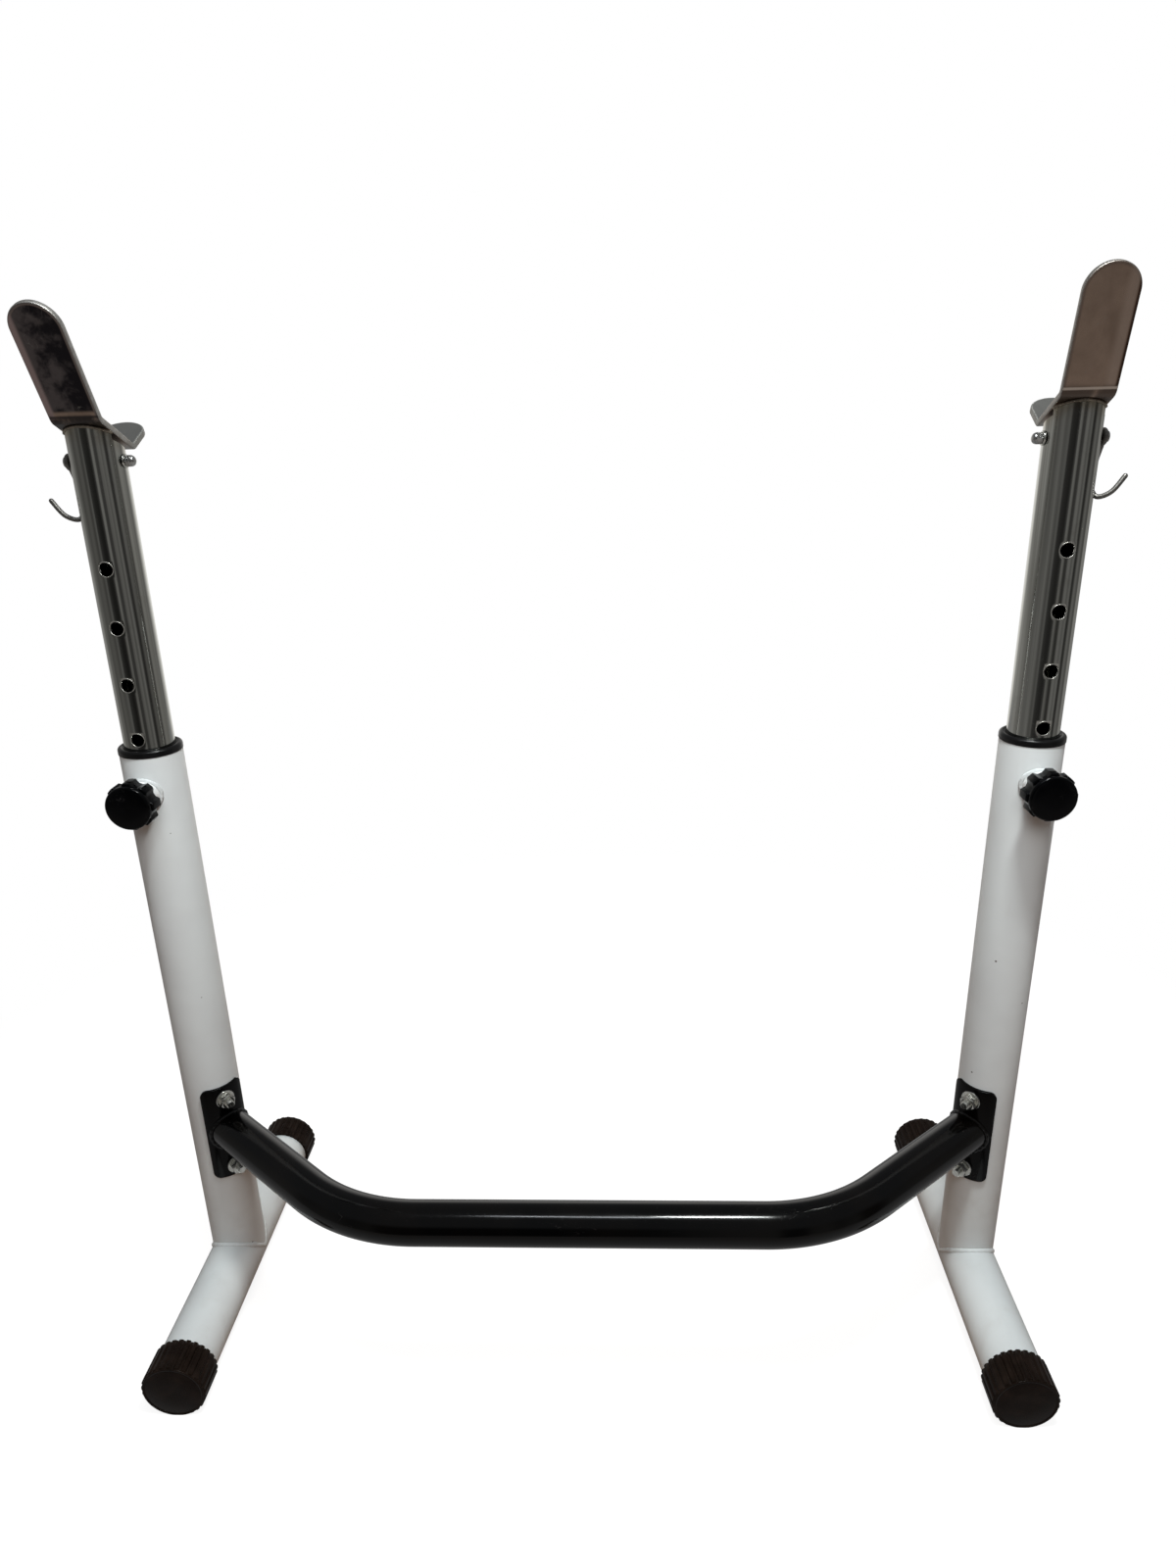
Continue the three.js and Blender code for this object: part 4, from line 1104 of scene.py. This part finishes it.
def makeCrossbar():
    size = crossbar
    rightHalf, onward = crossbarPath()
    whole = [Vector((-p.x, p.y, 0)) for p in reversed(rightHalf[1:])] + rightHalf
    level = Vector((0, 0, stand["crossbarHeight"]))
    bm = carried(along([p + level for p in whole], size["radius"], (0, 0, 1)), size["segments"])
    for mirror in (1, -1):
        axis = Vector((mirror * stand["uprightSpacing"] / 2, 0, stand["crossbarHeight"]))
        forward = Vector((mirror * onward.x, onward.y, 0))
        sidewards = Vector((-forward.y, forward.x, 0))
        tip = Vector((mirror * rightHalf[-1].x, rightHalf[-1].y, stand["crossbarHeight"]))
        for vert in bm.verts:  # both ends are coped to the saddle plates
            if abs((vert.co - tip).dot(forward)) < 0.01 and (vert.co - tip).length < 30:
                away = vert.co - axis
                gap = math.sqrt((stand["bracketRadius"] - 0.8) ** 2 - away.dot(sidewards) ** 2)
                vert.co -= forward * (away.dot(forward) + gap)
    keepPiece(bm, "Crossbar", None, blackSatin, "stand", ["crossbar"], crease=45)


def makeCrossbarWeld(side):
    size, radius = crossbar, crossbar["radius"] + 0.2
    onward = crossbarPath()[1]
    forward = Vector((-onward.x, onward.y, 0))
    sidewards = Vector((-forward.y, forward.x, 0))

    def crook(angle):
        aside, rise = radius * math.cos(angle), radius * math.sin(angle)
        away = math.sqrt((stand["bracketRadius"] + 0.3) ** 2 - aside ** 2)
        spot = sidewards * aside - forward * away + Vector((0, 0, stand["crossbarHeight"] + rise))
        return spot, sidewards * math.cos(angle) + Vector((0, 0, math.sin(angle)))

    bm = bead(ringOf(crook, size["beadSteps"]), *size["bead"])
    keepPiece(bm, "CrossbarWeld", side, blackWeld, "stand", crease=60)


for side in mirrors:
    makeBaseTube(side)
    makeBaseWeld(side)
    makeUpright(side)
    makeKnobBoss(side)
    makeEndCap(side, "Front")
    makeEndCap(side, "Rear")
    makeCollar(side)
    makeKnob(side)
    makePost(side)
    makeHoleRims(side)
    makeBarCup(side)
    makeCupWeld(side)
    makeWireHook(side)
    makeHookBolt(side)
    makeSaddlePlate(side)
    makeCrossbarWeld(side)
    makeFrameBolt(side, "upper", stand["bracketBoltRise"])
    makeFrameBolt(side, "lower", -stand["bracketBoltRise"])
    for node, finish in (("knob_pin", zinc), ("post_guide", guidePlastic)):  # kept from the CAD
        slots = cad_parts[f"{side}_{node}"].data.materials
        slots.clear()
        slots.append(finish)
    print(side, "side frame made")
makeCrossbar()
print("crossbar made")


studio = {
    "floorSide": 1.35, "floorFront": -0.46, "shadowDepth": 0.30, "floorWhite": 1.24, "floorMirrored": 0.3,
    "floorColour": (0.86, 0.84, 0.82), "bounceColour": (0.27, 0.165, 0.108), "shadowFrom": 0.75, "shadowTo": 1.15,
    "topLight": (0.33, 0.365, 0.375), "lowLight": (0.17, 0.108, 0.08), "sideLight": (0.055, 0.032, 0.022),
    "zenith": (0.18, 0.185, 0.19), "frontFloor": (0.26, 0.245, 0.235),
    # what metal sees round the horizon: degrees from the front towards the right, and how bright
    "panels": [
        (-180, 1.0), (-163, 0.85), (-150, 0.36), (-118, 0.31), (-103, 0.27), (-94, 0.18), (-84, 0.20), (-76, 0.13),
        (-55, 0.17), (-44, 0.10), (-33, 0.12), (-28, 0.035), (-6, 0.02), (1, 0.05), (5, 0.19), (11, 0.18),
        (15, 0.06), (25, 0.05), (30, 0.15), (38, 0.18), (44, 0.11), (54, 0.17), (60, 0.045), (67, 0.035),
        (77, 0.17), (92, 0.11), (101, 0.14), (106, 0.33), (128, 0.27), (142, 0.16), (158, 0.5), (180, 1.0),
    ],
}

# each lamp: its place, where it looks, its two sides in metres, its power and colour
lamps = {
    "ceilingLamp": ((0.25, -0.46, 2.0), (0.11, -0.16, 0.24), (0.26, 0.12), 16, (0.96, 1.0, 0.99)),
    "ceilingTail": ((-0.11, -0.6, 2.0), (-0.05, -0.16, 0.24), (0.46, 0.10), 3.2, (0.9, 0.95, 1.0)),
    "topLamp": ((0.0, -0.5, 3.0), (0, -0.1, 0.3), (1.3, 1.2), 2.1, (0.95, 0.98, 1.0)),
    "frontLamp": ((0.06, -1.15, 1.45), (0, 0, 0.5), (0.7, 0.5), 6.4, (1.0, 1.0, 1.0)),
    "rearLamp": ((0.0, 1.7, 1.5), (0, 0.1, 0.5), (0.9, 0.6), 14, (1.0, 0.94, 0.88)),
}
mirroredLamps = ("ceilingLamp", "ceilingTail")  # the two that shine back from the black crossbar

# fitted to the photograph: metres, degrees down, to the side and rolled, and the lens in millimetres
view = {"place": (0.0456, -0.9513, 0.9733), "pitch": 20.07, "yaw": -2.54, "roll": -1.51, "lens": 23.25}


def rayIs(paint, kind):
    return paint.node("ShaderNodeLightPath", output=f"Is {kind} Ray")


def throughMetal(paint):
    # 1 for the rays that come by way of a gloss or a clear part
    return rayIs(paint, "Glossy").maths("MAXIMUM", rayIs(paint, "Transmission"))


def makeFloor():
    size = studio
    bm = bmesh.new()
    bmesh.ops.create_grid(bm, x_segments=10, y_segments=10, size=size["floorSide"])
    moved(bm, placed(y=size["floorFront"] + size["floorSide"]))
    floor, mesh = meshObject("studioFloor", bm)
    material, place = newPaint("studioFloor")
    tree = material.node_tree
    tree.nodes.remove(tree.nodes["Principled BSDF"])
    x, y = axesOf(place)[:2]
    centred = y - 0.1
    distance = (x * x + centred * centred).maths("SQRT")
    seen, clear = rayIs(place, "Camera"), throughMetal(place)
    near = between(distance, size["shadowTo"], size["shadowFrom"])
    plain = (seen * (1 - size["shadowDepth"] * near)).maths("MAXIMUM", clear)
    matt = place.node("ShaderNodeBsdfDiffuse", values={"Color": mixed(seen, size["bounceColour"], size["floorColour"])})
    far = between(distance, size["shadowFrom"], size["shadowTo"])
    glow = mixed(far * seen, (size["floorWhite"],) * 3, (1.0,) * 3)
    glow = mixed(clear, glow, (size["floorMirrored"],) * 3)
    white = place.node("ShaderNodeEmission", values={"Color": glow, "Strength": 1.0})
    surface = place.node("ShaderNodeMixShader", values={0: plain, 1: matt, 2: white})
    tree.links.new(surface.socket, tree.nodes["Material Output"].inputs["Surface"])
    mesh.materials.append(material)


def makeSky():
    # white behind the stand; light from above and in front; dark and pale panels all round for the metal
    size = studio
    world = bpy.data.worlds.new("studioSky")
    world.use_nodes = True
    bpy.context.scene.world = world
    tree = world.node_tree
    paint = Wire(tree)
    tree.nodes.remove(tree.nodes["Background"])
    x, y, z = axesOf(paint.node("ShaderNodeTexCoord", output="Generated"))
    soft = mixed(between(z, -0.1, 0.9), size["lowLight"], size["topLight"])
    soft = mixed(between(x * x + y * 0.3, 0.12, 0.6), soft, size["sideLight"])
    turn = x.maths("ARCTAN2", y * -1.0) / math.tau + 0.5
    tint = (1, 0.985, 0.95)
    stops = [((angle + 180) / 360, tuple(shade * channel for channel in tint)) for angle, shade in size["panels"]]
    panels = mixed(between(z, 0.2, 0.5), ramped(turn, stops), size["zenith"])
    panels = mixed(between(z, -0.30, -0.38) * between(y, 0.2, 0.0), panels, size["frontFloor"])
    colour = mixed(throughMetal(paint), soft, panels)
    colour = mixed(rayIs(paint, "Camera"), colour, (1.0,) * 3)
    sky = paint.node("ShaderNodeBackground", values={"Color": colour, "Strength": 1.0})
    tree.links.new(sky.socket, tree.nodes["World Output"].inputs["Surface"])


def addLamp(name, place, target, sides, power, colour):
    lamp = bpy.data.lights.new(name, "AREA")
    lamp.shape = "RECTANGLE"
    lamp.size, lamp.size_y = sides
    lamp.energy = power
    lamp.color = colour
    holder = linked(name, lamp)
    holder.location = place
    holder.rotation_euler = (Vector(target) - Vector(place)).to_track_quat("-Z", "Y").to_euler()
    holder.visible_glossy = name in mirroredLamps


def makeCamera():
    pitch, yaw, roll = (math.radians(view[key]) for key in ("pitch", "yaw", "roll"))
    ahead = Vector((math.sin(yaw) * math.cos(pitch), math.cos(yaw) * math.cos(pitch), -math.sin(pitch)))
    level = Vector((math.cos(yaw), -math.sin(yaw), 0))
    up = level.cross(ahead)
    right = math.cos(roll) * level + math.sin(roll) * up
    top = -math.sin(roll) * level + math.cos(roll) * up
    camera = bpy.data.cameras.new("standCamera")
    camera.lens = view["lens"]
    camera.sensor_width = 36
    camera.dof.use_dof = False
    camera.clip_end = 60
    holder = linked("standCamera", camera)
    holder.matrix_world = Matrix.Translation(view["place"]) @ Matrix((right, top, -ahead)).transposed().to_4x4()
    bpy.context.scene.camera = holder


makeFloor()
makeSky()
for name, settings in lamps.items():
    addLamp(name, *settings)
makeCamera()
bpy.context.scene.view_settings.view_transform = "Standard"
print("studio set")
